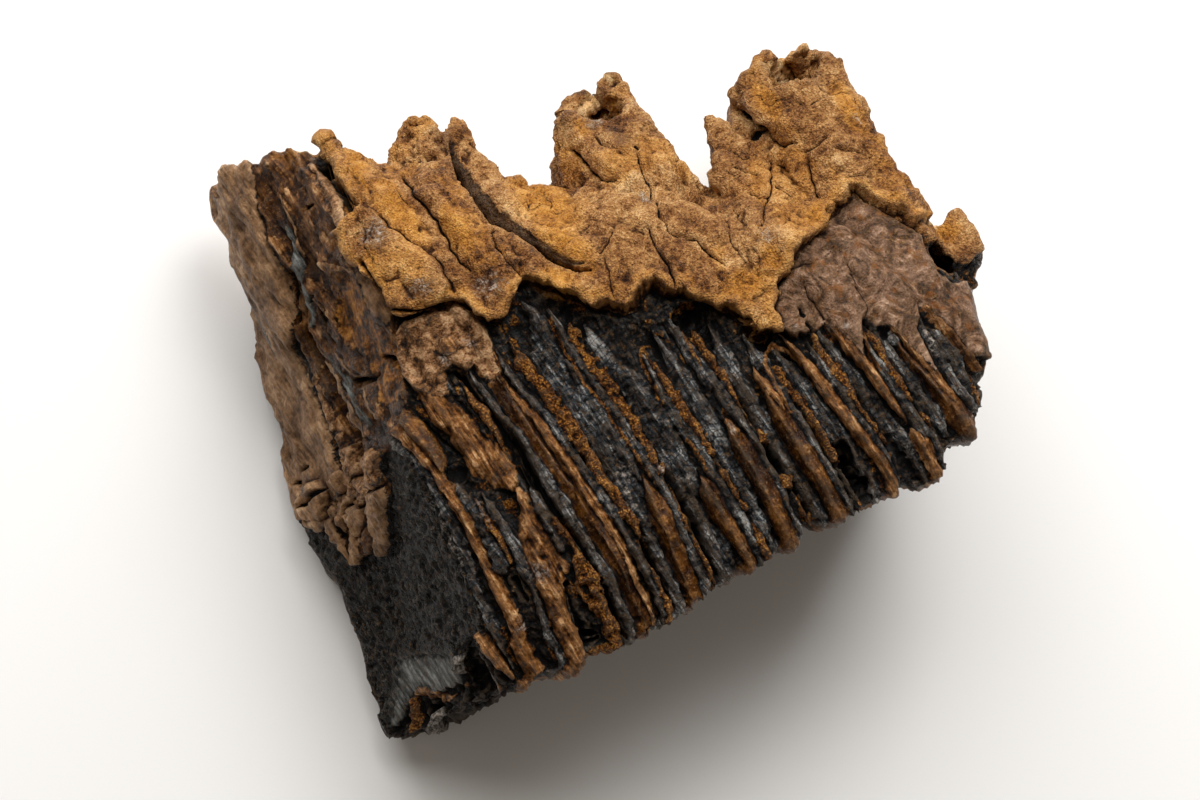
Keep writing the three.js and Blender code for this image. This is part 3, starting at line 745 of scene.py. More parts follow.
# %% Patterns of broken stone, each from about -1 to 1
fibre = noise(tilted, (0.8, 11, 4), seed=13, octaves=2)
grit = noise(points, 1.3, seed=14, octaves=2)
crumb = noise(area, (1.9, 1.7, 2), seed=16, octaves=2)
wrinkle = noise(area + 0.3 * area[:, [1, 0, 2]], (2.8, 1.0, 2), seed=15, octaves=2)
torn = noise(area, (1.6, 3.2, 2.5), seed=17, octaves=3)
bulk = noise(area, (4, 9, 6), seed=18, octaves=2)
scar = noise(tilted, (1.5, 6, 3), seed=19, octaves=3)
swell = noise(points, 5, seed=21, octaves=4)
rough = noise(area, 2.3, seed=22, octaves=3)
seams = noise(tilted, (2.2, 26, 9), seed=26, octaves=3)
# These two have sharp valleys, because they are folded at 0.
folds = np.abs(noise(area, (6, 9, 7), seed=24, octaves=2))
creases = np.abs(noise(area, 3.2, seed=25, octaves=2))
print("patterns at", len(points), "vertices")

# %% Raise the strips
BARE = -1.8  # mm, the level of bare black enamel between the strips


def best_strip(strips, wider, height, roundness, fray):
    """The highest strip of a kind above bare enamel, widened by a factor, its edges frayed by a noise."""
    inside = np.max([strip(wobble, [(y, x, wider * half) for y, x, half in s]) for s in strips], axis=0)
    inside = np.where(inside > -0.4, inside + fray, inside)
    return BARE + height * np.clip(inside, 0, 1) ** roundness * (inside > 0)


kinds = {
    "enamel": best_strip(ENAMEL, 1.3, 2.0 + 0.6 * bulk, 0.4, 0.4 * torn),
    "dentine": best_strip(DENTINE, 1.4, 1.9 + 0.7 * bulk, 0.35, 0.6 * torn),
    "dark": best_strip(DARK_CEMENT, 1.25, 3.4 + 0.4 * bulk, 0.6, 0.15 * torn),
    "tan": best_strip(TAN_CEMENT, 1.25, 3.2 + 0.5 * bulk, 0.55, 0.25 * torn),
}
relief = {
    "enamel": 0.35 * wrinkle + 0.45 * grit,
    "dentine": 0.9 * crumb + 0.3 * grit,
    "dark": 0.3 * fibre + 0.15 * scar,
    "tan": 0.5 * fibre + 0.35 * grit,
}
for name in kinds:
    kinds[name] = kinds[name] + relief[name] * (kinds[name] > BARE)
height = np.max(list(kinds.values()), axis=0)
share = {name: ramp(value - BARE, 0.2, 0.8) * (value >= height - 1e-6) for name, value in kinds.items()}
print("strips cover", round(100 * float((height > BARE).mean())), "% of the skin")


# %% Helpers that lay one finish over the others
def show(name, amount):
    """Shows at least this much of a finish, and leaves the others as they are."""
    share[name] = np.maximum(share.get(name, 0), amount)


def cover_with(name, cover):
    """Covers the other finishes with this one where cover is 1."""
    for other in share:
        share[other] = share[other] * (1 - cover)
    show(name, cover)


def lay(name, inside, level, edge):
    """Covers what is there with an area at a level. Inside is the distance to its outline, edge its width."""
    global height
    cover = ramp(inside, -edge / 2, edge / 2)
    height = height * (1 - cover) + level * cover
    cover_with(name, cover)


# %% Sink the grooves
grooves = np.clip(np.max([strip(wobble, s) for s in GROOVES], axis=0) + 0.2 * torn, 0, 1)
bare = height <= BARE + 0.05
bottom = BARE + 0.6 * scar + 0.4 * wrinkle + 0.4 * grit - 3.0 * ramp(grooves, 0, 0.5)
height = np.where(bare, bottom, height)
show("dentine", 0.8 * ramp(scar + 0.4 * crumb, 0.3, 0.7) * bare)
# The floor of a groove is painted near black: dirt, and painted shade for a depth the skin can't hold.
share["dirt_and_shade"] = ramp(grooves, 0.1, 0.5) * (1 - np.max(list(share.values()), axis=0))
print("grooves down to", height.min().round(2), "mm")

# %% Lay the areas of cement
lay("smooth", outline(area, SMOOTH_CEMENT), 0.3 + 0.6 * swell + 0.4 * folds + 0.1 * rough, 0.8)
lay("crust", outline(area, ROUGH_CEMENT), 0.2 + 0.8 * swell + 1.2 * folds + 0.4 * creases, 1.0)
brown = outline(area, BROWN_LEFT)
lay("dark", brown, -0.5 + 0.7 * swell + 1.1 * seams + 0.5 * creases + 0.3 * fibre, 1.0)
show("tan", 0.9 * ramp(brown, 0, 1) * ramp(swell + 0.5 * seams, 0.1, 0.5))
print("cement from", height.min().round(2), "to", height.max().round(2), "mm")

# %% Lay the areas of the broken left end
lay("amber", outline(area, GLOSSY_HOLLOW), -1.5 + 0.6 * swell + 0.5 * creases, 1.6)
lay("weathered", outline(area, SLAB), 0.3 + 0.35 * fibre + 0.3 * swell, 0.8)
lay("weathered", outline(area, FAR_LEFT), 0.6 * swell + 0.8 * seams + 0.4 * folds + 0.3 * fibre, 1.0)
lay("charcoal", outline(area, CHARCOAL), -0.6 + 0.5 * grit + 0.5 * crumb + 0.15 * swell, 0.8)
lay("slate_and_sheen", outline(area, SLATE) + 0.4 * fibre, -0.5 + 0.12 * fibre, 6.0)
corner = outline(area, BROKEN_CORNER)
# The broken corner is sunk and painted near black, as dirt and painted shade.
lay("dirt_and_shade", corner, -1.9 + 1.5 * rough + 0.8 * crumb, 1.0)
show("dentine", 0.9 * ramp(corner, 0, 1) * ramp(crumb + rough, 0.25, 0.6))
show("slate_and_sheen", 0.8 * ramp(corner, 0, 1) * ramp(fibre - crumb, 0.3, 0.7))
print("left end from", height.min().round(2), "to", height.max().round(2), "mm")

# %% Lay the cap
# Its edge stands over the plates as a rounded lip, with a shadowed cut below it. Away from the edge it
# settles down, and towards the tips of the roots it gets more creased and chipped.
cap_edge = outline(area, CAP) + 0.5 * rough + 0.4 * torn  # mm inside the edge
facing = ramp(normals[:, 2], 0.1, 0.6)
lip = 2.3 * (1 - 0.8 * ramp(cap_edge, 3, 18)) + 0.8 * np.exp(-(((cap_edge - 1.2) / 1.3) ** 2))
chips = ramp(noise(area, 4.5, seed=23, octaves=3), 0.35, 0.8)
tips = ramp(points[:, 1], 52 - 0.2 * points[:, 0], 64 - 0.2 * points[:, 0])
lip = (lip - 0.4) * facing + 0.5 * swell + 1.5 * folds + (0.5 + 0.5 * tips) * creases + 0.25 * grit
lip -= (0.5 + 0.7 * tips) * chips
height -= 1.0 * ramp(cap_edge, -2.0, -0.4) * (cap_edge < 0)
lay("cap", cap_edge, lip, 0.6)
print("cap from", lip.min().round(2), "to", lip.max().round(2), "mm")

# %% Colour the cap's wall and its sunlit patches, and paint a golden highlight along its rim
wall = ramp(cap_edge, -1.0, -0.6)
for name in share:
    share[name] = share[name] * (1 - wall) if name != "cap" else np.maximum(share[name], wall)
sunlit = noise(area, (9, 14, 12), seed=27, octaves=3)
# A painted golden highlight runs along the cap's rounded rim.
rim_highlight = 0.6 * np.exp(-(((cap_edge - 1.2) / 0.9) ** 2))
show("gold", np.maximum(rim_highlight, 0.4 * ramp(sunlit, 0.1, 0.5) * ramp(cap_edge, 0, 1)))
shadowed = ramp(cap_edge, -1.8 - 1.2 * (swell > 0), -1.2) * (cap_edge < -0.8) * ramp(points[:, 0], -8, 2)
print("gold on", round(100 * float((share["gold"] > 0.3).mean())), "% of the skin")

# %% Stump, broken end, flake and fine cracks of the cap
lay("cap", outline(area, STUMP), 0.8 * facing + 0.4 * swell + 0.3 * rough, 0.8)
height += ramp(outline(area, BROKEN_END), -0.4, 0.6) * facing * (-2.0 + 1.1 * rough)
height += 1.3 * ramp(outline(area, FLAKE), -0.2, 0.6) * facing
# A painted shadow lies on the plates just under the cap's edge.
show("dirt_and_shade", 0.7 * shadowed * ramp(points[:, 0], 44, 40))
crackle = np.clip(1 - np.abs(noise(area, 7, seed=33, octaves=2)) / 0.07, 0, 1)
crackle *= ramp(noise(points, 11, seed=34), 0.0, 0.4) * ramp(cap_edge, 1, 3)
height -= 0.5 * crackle
# The fine cracks are painted dark, as dirt and painted shade.
show("dirt_and_shade", 0.45 * crackle)
print("fine cracks on", round(100 * float((crackle > 0.5).mean()), 1), "% of the skin")

# %% Cracks
CRACKS = [
    # (depth in mm, stations of x, y and half width in mm)
    (5, [(-3.4, 66, 1.7), (-4.7, 60, 1.8), (-4.3, 51, 1.6), (-3.6, 46, 1.5), (-1.2, 40, 1.3), (3, 31, 1.2),
         (6.5, 25, 1), (9.5, 24, 0.4)]),
    (1.6, [(-17, 64, 1), (-16.8, 58, 0.9), (-15.6, 50, 0.8), (-15.2, 42, 0.8), (-15, 38, 0.6),
           (-13.8, 35, 0.3)]),
    (1.4, [(-25.6, 55, 0.6), (-24.6, 50.5, 0.7), (-22.5, 46, 0.7), (-21, 43.5, 0.3)]),
    (1.2, [(-19.6, 42, 0.6), (-19.1, 38, 0.6), (-19, 32, 0.7)]),
    (0.8, [(-20.3, 59, 0.4), (-19.4, 55, 0.4)]),
    (1.2, [(-3.8, 42, 0.5), (-6, 40.5, 0.6), (-6.7, 37, 0.6), (-6, 33, 0.6), (-5, 29, 0.6)]),
    (1.6, [(24.8, 27, 0.4), (24.5, 22, 0.6), (24.9, 17, 0.6), (24, 12, 0.7)]),
    (1.8, [(31.4, 45, 0.6), (31, 40, 0.6), (31.2, 36.5, 0.6), (29.6, 33, 0.7), (29, 28, 0.8),
           (28.9, 24, 0.7), (31, 20.8, 0.7), (33.2, 19.4, 0.7), (34.3, 15.5, 0.7), (35.8, 11.8, 0.4)]),
    (1.6, [(19.6, 54, 0.8), (20.8, 48, 0.7), (21.8, 43.5, 0.6), (24.6, 41.5, 0.4)]),
    (1.2, [(25.6, 54, 0.5), (26.4, 50, 0.4)]),
    (1, [(12.6, 26.4, 0.5), (15.2, 27, 0.5), (18, 29.6, 0.4)]),
    (1, [(13.4, 25, 0.6), (12.9, 21, 0.6), (11.4, 18, 0.6), (11, 15.5, 0.5)]),
    (0.8, [(40.2, 20, 0.4), (40, 14, 0.5), (40.4, 10, 0.3)]),
    (1, [(50.4, 33, 0.4), (52, 30.6, 0.5), (54.4, 30, 0.3)]),
    (1.4, [(50, 26, 0.4), (51.6, 24.2, 0.5), (54, 24, 0.6), (56.5, 28.6, 0.6), (58.6, 31.6, 0.5)]),
    (1.2, [(47.5, 15.5, 0.5), (50, 20, 0.6), (53.4, 23.6, 0.6)]),
    (1.1, [(56, 25.6, 0.5), (57.6, 21.5, 0.5)]),
    (1, [(55.4, 21.6, 0.4), (58, 20, 0.5)]),
    (1.4, [(60, 36, 0.6), (62, 33.2, 0.6), (65, 32, 0.4)]),
    (1.2, [(65.2, 29.6, 0.4), (67.6, 28.8, 0.6), (71, 29.6, 0.4)]),
    (1.1, [(70.6, 26, 0.4), (74, 24, 0.5), (77.4, 21.4, 0.4)]),
    (1.3, [(65, 27, 0.5), (63.6, 22, 0.6), (62.4, 16, 0.6)]),
    (0.9, [(70, 18.6, 0.5), (74, 17.6, 0.4)]),
    (0.9, [(59.2, 30.4, 0.4), (60.6, 26.6, 0.4)]),
    (3.6, [(57.6, 48, 1.2), (58.8, 43, 1.2), (59.6, 39, 1), (60, 36.5, 0.5)]),
    (3.4, [(-31, 80, 1.2), (-31, 74, 1.1), (-30.3, 66, 0.9), (-29.4, 60, 0.8)]),
    (5, [(-48.8, 58.5, 0.3), (-51.1, 50.1, 0.6), (-52.4, 44.5, 1.1), (-52.4, 39.4, 1.3), (-52.7, 32.1, 1.6),
         (-53.2, 26.1, 1.8), (-53.4, 23.2, 0.9), (-52.7, 19.6, 1.5), (-52.8, 16, 1.6), (-52.3, 12, 1.1)]),
    (1.8, [(-32.6, 47, 0.8), (-31.8, 40, 0.9), (-31.6, 35.6, 0.9), (-28, 33, 0.9), (-24, 31.8, 0.9),
           (-20, 30.8, 0.7)]),
    (1.6, [(-50, 60, 0.4), (-51.4, 54, 0.6), (-53.6, 50, 0.7)]),
    (1.6, [(-37.8, 11, 0.5), (-36.6, 7, 0.7), (-35, 3, 0.8), (-33, 0, 0.7)]),
    (2.6, [(-40.2, 30, 0.5), (-38.5, 27.3, 1.2), (-38.3, 24, 0.8), (-38.4, 22, 0.4)]),
    (1.8, [(-46.8, 49.5, 0.4), (-46.6, 47.5, 1), (-47.2, 44.5, 0.6), (-48, 41, 0.4)]),
    (3, [(-47.8, 30.6, 0.6), (-46.4, 28.6, 2), (-44.4, 27.6, 1.4), (-42.6, 27.8, 0.5)]),
    (1.6, [(-13, 65.2, 0.6), (-10, 65.6, 0.5), (-5, 65.6, 0.5)]),
    (1.2, [(74.6, 9, 0.8), (76.6, 5.5, 0.9), (78.8, 1.5, 0.7)]),
    (0.8, [(49.2, 0, 0.35), (49.8, -4, 0.5), (49.6, -8, 0.6)]),
    (0.7, [(60.4, 1, 0.3), (60, -5, 0.35), (59.6, -10.6, 0.3), (58.4, -12, 0.3)]),
    (1, [(45.4, 2.2, 0.4), (49.6, 4.4, 0.4), (56, 4.6, 0.3), (59.6, 5.2, 0.3)]),
]
print(len(CRACKS), "cracks")

# %% Pits
PITS = [
    # (depth, x, y, half width, half length) in mm
    (3, 46.7, -4.6, 0.9, 1.5), (2, 46.9, -8.5, 0.7, 2.2), (1.2, -28.4, -24, 1.3, 1.8),
    (1, -27.9, -28, 1.2, 1), (1.6, 32, 46.2, 0.7, 0.7), (2.2, 58, 39.4, 1.2, 1.6),
    (2.4, -69.6, -39.2, 1.8, 1.4), (2.2, -63.4, -41, 1.4, 1.1), (2, -62, -46, 2, 1.2),
    (2.2, -47.2, 52, 1.6, 0.7), (3.2, -64.6, 15.2, 3.2, 0.9), (2.4, -57.6, 8.2, 2, 0.8),
    (2.4, -62.6, 5.4, 0.7, 2.6), (1.6, -56.6, 21.4, 0.9, 0.7), (1.6, -67.4, 21.4, 1.2, 0.6),
    (1.4, -64.6, 22.8, 1, 0.5), (1.8, -38.4, 68.8, 1.2, 0.6), (3, 41, -38, 1.3, 5), (3.2, 5, -36, 1.5, 9),
    (2.6, 26.3, -30, 1, 4), (3, -21.4, -8, 1.2, 8), (2.6, 62, 13, 1.6, 0.8),
]
print(len(PITS), "pits")

# %% Lumps: folds of cement on the broken left end, and small broken pieces
LUMPS = [
    # (rise, rounding in mm, finish, outline)
    (0.9, 1, "dark", [
        (-66, 11.1), (-62.5, 11.6), (-58.5, 13.1), (-55.5, 20.1), (-52, 19.1), (-48, 13.6), (-49.5, 4.6),
        (-53, -2.4), (-56, -5.9), (-57.5, -2.9), (-60.5, -3.4), (-64.1, -2.9), (-65.1, 5.1),
    ]),
    (2.6, 2.2, "weathered", [
        (-66.7, 18.8), (-64.5, 19.2), (-62.8, 18.4), (-61.8, 14.9), (-63.3, 12.2), (-63.7, 10.4),
        (-65.4, 8.3), (-68, 8.1), (-68.8, 10), (-69.8, 11.5), (-68.8, 14.9), (-67.9, 17.4),
    ]),
    (3, 1.8, "weathered", [
        (-58.9, 11.3), (-57.7, 9.8), (-59, 8), (-61.1, 5.3), (-62.3, 3.7), (-63.3, 0.2), (-64.2, -3.1),
        (-64.7, 2.3), (-65.2, 5.3), (-64.9, 8), (-64.2, 9.4), (-61.8, 10.9), (-59.8, 11.4),
    ]),
    (3.4, 1.8, "weathered", [
        (-57.9, 8.8), (-56.9, 7.5), (-56.6, 6.1), (-56, 5.3), (-57.4, 2.4), (-59.8, 1), (-60, 4.2),
        (-60.2, 5.8), (-60.1, 7.5),
    ]),
    (3.4, 2, "crust", [
        (-56.7, 12.4), (-54.7, 11.9), (-53.2, 10.5), (-53.2, 8), (-54.1, 6.3), (-56.4, 6.2), (-57.7, 8),
        (-57.7, 10),
    ]),
    (3.8, 2, "crust", [
        (-52.8, 12.4), (-50.2, 14.3), (-48.6, 13.5), (-47.8, 11.6), (-48.7, 8.4), (-49.6, 5.6),
        (-51.5, 5.8), (-52.8, 7.1), (-53, 10.1),
    ]),
    (3.4, 1.8, "weathered", [
        (-53.4, 6.5), (-51.8, 5.6), (-49.9, 4.6), (-50.5, 2.6), (-52.9, -2.4), (-54.2, -5.4), (-55.9, -6.5),
        (-57, -6.2), (-57.1, -3.9), (-56.2, -0.6), (-54.7, 3.5),
    ]),
    (2.8, 1.4, "weathered", [
        (-60.7, 4), (-60.3, 1), (-59.4, 0.2), (-59.8, -2.6), (-62.3, -4.1), (-63.7, -3), (-62.7, 0.1),
    ]),
    (2.4, 1.2, "dark", [
        (-58.8, 0.7), (-57, 1.6), (-57, -0.4), (-57.8, -2.5), (-59.3, -3.6), (-60.3, -3), (-59.9, -0.7),
    ]),
    (3.2, 1.8, "crust", [
        (-54.5, 19.4), (-52.5, 19), (-52.4, 16.7), (-52, 14.5), (-53.4, 12.4), (-55.1, 12.3), (-56.5, 13.5),
        (-55.9, 15.9),
    ]),
    (2.2, 1.4, "weathered", [
        (-59.3, 16.1), (-57.3, 16.5), (-56.7, 15.2), (-57.3, 13.1), (-57.8, 11.6), (-59.1, 11.6),
        (-59.4, 13.2),
    ]),
    (1.8, 1.4, "pale_and_glint", [
        (-66, -43.5), (-63.5, -41.5), (-61, -42.8), (-62, -45), (-64.5, -46), (-66.5, -45.5),
    ]),
    (1, 0.8, "dentine", [(-66.8, -36.2), (-65, -36.2), (-67.6, -43.4), (-69.8, -43)]),
    (0.9, 0.8, "tan", [(-65, -35.8), (-63.4, -35.6), (-58.4, -41.6), (-59.6, -42.6)]),
    (1.6, 1, "pale_and_glint", [(-55.4, -38), (-54, -35.4), (-52.4, -36.4), (-52.6, -39), (-54.4, -39.8)]),
    (1, 0.8, "tan", [(-27.5, 22), (-26, 24.6), (-24.4, 24), (-24, 21.6), (-25.4, 20.4), (-26.8, 20.8)]),
]
print(len(LUMPS), "lumps")

# %% Ridges
RIDGES = [
    # (rise, finish, stations of x, y and half width in mm)
    (0.5, "dentine", [
        (-3, 18, 0.5), (-3.6, 12, 0.5), (-3, 6, 0.45), (-1.5, -3, 0.45), (-0.3, -12, 0.45), (0.6, -20, 0.4),
        (1, -25, 0.3),
    ]),
    (0.6, "dentine", [
        (10.3, -10, 0.4), (10.2, -4, 0.45), (10.5, 0, 0.45), (11.2, 2.8, 0.5), (12.6, 3.6, 0.5),
        (14, 3, 0.3),
    ]),
    (0.5, "dentine", [(21.2, -6, 0.35), (21.2, 0, 0.45), (21.7, 3, 0.5), (22.3, 4.6, 0.3)]),
    (0.5, "dentine", [(11.6, -19, 0.4), (12.2, -24, 0.5), (12, -28, 0.4)]),
    (0.7, "tan", [
        (34.4, -24, 0.3), (34, -16, 0.45), (34.4, -11, 0.5), (35.6, -9.4, 0.5), (37.6, -9, 0.6),
        (39.4, -10.6, 0.6), (41, -15, 0.5), (41.4, -20, 0.3),
    ]),
    (0.7, "tan", [(56.2, -24, 0.3), (55, -19.8, 0.5), (56, -16.5, 0.5), (56.8, -14.2, 0.3)]),
    (1.3, "crust", [(-54.1, 37.8, 0.6), (-54.7, 33.1, 1.1), (-55.3, 28.4, 1.1), (-55.5, 25.3, 0.5)]),
    (1.4, "crust", [(-54.9, 22.8, 0.8), (-55.5, 19.8, 1.2), (-56.5, 17, 0.8)]),
    # grey-blue ridges painted as a sheen on the left end
    (0.9, "slate_and_sheen", [
        (-44.4, 69, 0.4), (-45, 64, 1), (-46.2, 60.3, 1.2), (-48.7, 52.7, 1.4), (-49.4, 47.2, 0.6),
    ]),
    (0.6, "weathered", [(-42.6, 76, 0.4), (-42.4, 72, 0.5), (-43, 68, 0.5), (-44.6, 61, 0.4)]),
    (0.9, "weathered", [(-51.3, 38.7, 0.5), (-50.4, 32.2, 0.8), (-50.3, 24.7, 0.8), (-50.2, 18.7, 0.5)]),
    # another grey-blue ridge painted as a sheen
    (0.8, "slate_and_sheen", [(-49.4, 39, 0.4), (-48.7, 31, 0.7), (-48.4, 24.4, 0.6), (-48, 19, 0.5)]),
    (0.7, "weathered", [(-47.4, 38, 0.3), (-47, 30, 0.6), (-46.3, 24, 0.6), (-45.4, 18, 0.5)]),
    # a painted shadow along the big crack in the cap, as a shallow dark strip
    (-0.8, "stain_and_shade", [
        (-2.9, 68, 0.9), (-3.7, 61, 1.2), (-3.3, 52, 1.1), (-2.6, 47, 1.1), (-0.4, 41, 1), (3.4, 32.4, 0.8),
        (6.8, 26.6, 0.7), (9, 25.6, 0.3),
    ]),
    (0.9, "crust", [(-34.2, 56, 0.8), (-33.2, 64, 1.4), (-33, 72, 1.3), (-33.6, 78, 0.8)]),
    (0.5, "crust", [(-40.8, 56, 0.5), (-38.2, 50.5, 0.6), (-36.2, 44, 0.4)]),
    (0.8, "dentine", [(-55.6, -42, 0.6), (-54, -40.6, 0.5), (-52.6, -39.6, 0.4)]),
]
print(len(RIDGES), "ridges")

# %% Patches of colour
GOLD = [
    # (x, y, half width, half length, turn): where the cap is brightest
    (8, 44, 7, 12, 20), (7, 32, 4.5, 11, 15), (38, 5, 7, 5, 0), (-22, 54, 4, 12, 8), (-31, 42, 1.6, 9, -6),
    (45.5, 8, 2.4, 4, 0), (2, 24, 4, 6, 40), (79, 34, 3, 9, 0), (-12, 45, 4, 8, 0), (59, 13, 5, 3, 20),
    (-26, 68, 2, 8, 0), (86, 1, 4, 4, 0), (24, 57, 1.6, 3, 0), (34, 62, 2.5, 2.5, 0), (70, 51, 2.6, 2.6, 0),
    (64, 44, 2.4, 6, 0),
]
PALE_AND_GLINTS = [
    # flecks of light mineral and painted glints: (x, y, half width, half length, turn)
    (-28, 51, 3.4, 4.4, -30), (-12, 30, 4.4, 4, 0), (47, 12.6, 2, 2.6, 0), (27, 57, 3, 2, 0),
    (79, 30.6, 1.2, 2.4, 0), (-25.6, 36.6, 4.4, 1.8, -15), (-21, 21, 2.6, 2, 0), (-27, 20, 1.6, 2, 0),
    (28, 34, 2, 3, 0), (44, -7, 1.6, 1.4, 0), (50, -10, 1.2, 1, 0), (-35.4, 26.4, 0.9, 0.9, 0),
    (-3, -19.6, 3, 2, 0), (-30, -30, 2.4, 3, 0), (53.6, -41.6, 1.8, 2.6, -20), (69, -23, 1.2, 5, 0),
    (71, -41, 3, 2, 20), (-43.6, -17, 0.9, 8, 0), (-44.8, 10, 1, 3, 10), (8, -26, 1.6, 2.4, 0),
    (4, -21.6, 1, 2, 0), (54, -12, 1.4, 1.4, 0), (16.4, -38.8, 1.2, 1.4, 0), (21.6, -21, 0.8, 2, 0),
    (-5.4, -25, 1.4, 5, 0), (-34.6, -12, 0.8, 6, 0), (-38, -38, 1.4, 2, 0),
]
STAINS_AND_SHADE = [
    # dark brown stains, and painted shade on the top nodule of the left end: (x, y, half width, half length,
    # turn)
    (-53.2, 79, 3, 4.4, 0), (-42.8, 59, 2.2, 7.5, -15), (-64.8, 8.4, 2, 1.4, 0), (30, 51, 2.4, 5, 0),
    (63.6, 56, 2, 6, 0), (21, 59, 2, 5, 0), (76, 44, 3, 1.6, 20), (-4.6, 70, 2.4, 4, 0),
]
CREAM = [
    # bare bone inside the broken roots: (x, y, half width, half length, turn)
    (29, 64, 5, 2.4, 30), (33.6, 61.4, 1.6, 2.6, 0), (71, 51.4, 4.6, 2.4, -20), (36, 67, 1.2, 2, 0),
    (84, 3, 3, 1.6, 0),
]
PATCHES = (("gold", GOLD, 0.75), ("pale_and_glint", PALE_AND_GLINTS, 0.45), ("cream", CREAM, 0.95), ("stain_and_shade", STAINS_AND_SHADE, 0.5))
print(sum(len(patches) for name, patches, reach in PATCHES), "patches")

# %% Add lumps, ridges and patches
shaken = points.copy()
shaken[:, 0] += 0.4 * noise(points, 2.6, seed=31, octaves=2)
shaken[:, 1] += 0.4 * noise(points, 2.6, seed=32, octaves=2)
raised = np.zeros(len(points))
for rise, rounding, finish, corners in LUMPS:
    inside = np.clip((outline(shaken, corners) + 0.25) / rounding, 0, 1)
    raised = np.maximum(raised, rise * (1 - (1 - inside) ** 2.5) ** 0.5)
    cover_with(finish, ramp(inside, 0, 0.15))
height = height + raised
for rise, finish, stations in RIDGES:
    inside = np.clip(path(shaken, stations), 0, 1)
    height = height + rise * inside**0.5
    cover_with(finish, ramp(inside, 0, 0.4))
for name, patches, reach in PATCHES:
    show(name, reach * np.max([mound(shaken, *patch) for patch in patches], axis=0) ** 0.5)
print("lumps rise by up to", raised.max().round(2), "mm")

# %% Open the cracks and pits
# A crack is a narrow cut in the middle of a wide, shallow valley; dirt and painted shade fill the cut.
for depth, stations in CRACKS:
    valley = np.clip(path(shaken, [(x, y, half + 1.4 + 0.5 * depth) for x, y, half in stations]), 0, 1)
    height = height - 0.45 * depth * valley**1.5 * (1 - share["dirt_and_shade"])
    inside = np.clip(path(shaken, [(x, y, 0.62 * half) for x, y, half in stations]), 0, 1)
    height = height - depth * inside**0.7
    show("dirt_and_shade", ramp(inside, 0.2, 0.9) * min(1, depth / 2))
# Pits are painted near black too, as dirt and painted shade, darker the deeper they are.
for depth, x, y, across, along in PITS:
    inside = mound(shaken, x, y, across, along)
    height = height - depth * inside**0.6
    show("dirt_and_shade", ramp(inside, 0.1, 0.6) * min(1, depth - 0.8))
print("cracks down to", height.min().round(2), "mm")

# %% [markdown]
# The hidden sides get plates from a repeating rule: dentine, enamel and cement by turns, leaning like the
# drawn ones, and the cap behind them. They are mixed with the drawn relief by the way that the skin faces.

# %% The hidden sides
PLATE_STEP = 11  # mm from one plate to the next
PLATE_SHIFT = 30.5  # mm, how far the row of hidden plates is shifted to the left
across_plates = points[:, 0] + lean * (CREST - points[:, 2]) + SLANT * (points[:, 1] + 50)
phase = ((across_plates + PLATE_SHIFT + 0.8 * noise(points, 9, seed=41, octaves=2)) / PLATE_STEP) % 1
from_cement = np.abs(phase - 0.5) * 2  # 0 in the middle of the cement, 1 in the middle of the plate
in_enamel = ramp(from_cement, 0.52, 0.6)
in_dentine = ramp(from_cement, 0.82, 0.9)
hidden = {"dentine": in_dentine, "enamel": in_enamel * (1 - in_dentine), "dark": 1 - in_enamel}
cap_line = 40 - 0.5 * points[:, 0] + 4 * noise(points, 10, seed=42)
behind = ramp(points[:, 1], cap_line - 1, cap_line + 1)
hidden_height = -0.9 + 0.9 * hidden["enamel"] + 0.3 * hidden["dark"] - 0.4 * hidden["dentine"]
hidden_height += 0.2 * noise(points, (2, 1.2, 2), seed=43, octaves=2)
hidden_height = hidden_height * (1 - behind) + (0.1 + 0.6 * noise(points, 5, seed=44, octaves=3)) * behind
for name in hidden:
    hidden[name] = hidden[name] * (1 - behind)
hidden["cap"] = behind
print("the rule puts cap on", round(100 * float(behind.mean())), "% of the skin")

# %% Mix both and push the vertices
FINISHES = (
    "enamel", "dentine", "dark", "tan", "amber", "crust", "smooth", "weathered",
    "charcoal", "slate_and_sheen", "cap", "gold", "cream", "pale_and_glint", "stain_and_shade", "dirt_and_shade",
)
seen_from_above = np.maximum(ramp(normals[:, 2], -0.05, 0.25), front * ramp(normals[:, 2], -0.6, -0.3))
height = height * seen_from_above + hidden_height * (1 - seen_from_above)
for name in FINISHES:
    share[name] = share.get(name, 0) * seen_from_above + hidden.get(name, 0) * (1 - seen_from_above)
points += normals * height[:, None]
points[:, 2] = np.maximum(points[:, 2], 0)  # nothing below the floor
put_points(molar, points)
for name in FINISHES:
    layer = molar.data.attributes.new(name, "FLOAT", "POINT")
    layer.data.foreach_set("value", np.clip(share[name], 0, 1).astype(np.float32))
print("carved from", height.min().round(2), "to", height.max().round(2), "mm")

# %% [markdown]
# Hollows get painted shade, with some dirt, and edges wear pale and get a painted highlight. To know which
# is which, every point is compared with the average of its surroundings, close by and farther away.

# %% Hollows and edges, for painted shade and painted highlights
edges = np.empty(len(molar.data.edges) * 2, np.int32)
molar.data.edges.foreach_get("vertices", edges)
edges = edges.reshape(-1, 2)
ends = np.concatenate([edges[:, 0], edges[:, 1]])
others = np.concatenate([edges[:, 1], edges[:, 0]])
neighbours = np.bincount(ends, minlength=len(points))


def averaged(values, times):
    """Each point's values averaged with its neighbours', some times over."""
    for _ in range(times):
        sums = [np.bincount(ends, values[others, axis], len(values)) for axis in range(values.shape[1])]
        values = 0.3 * values + 0.7 * np.stack(sums, axis=1) / neighbours[:, None]
    return values


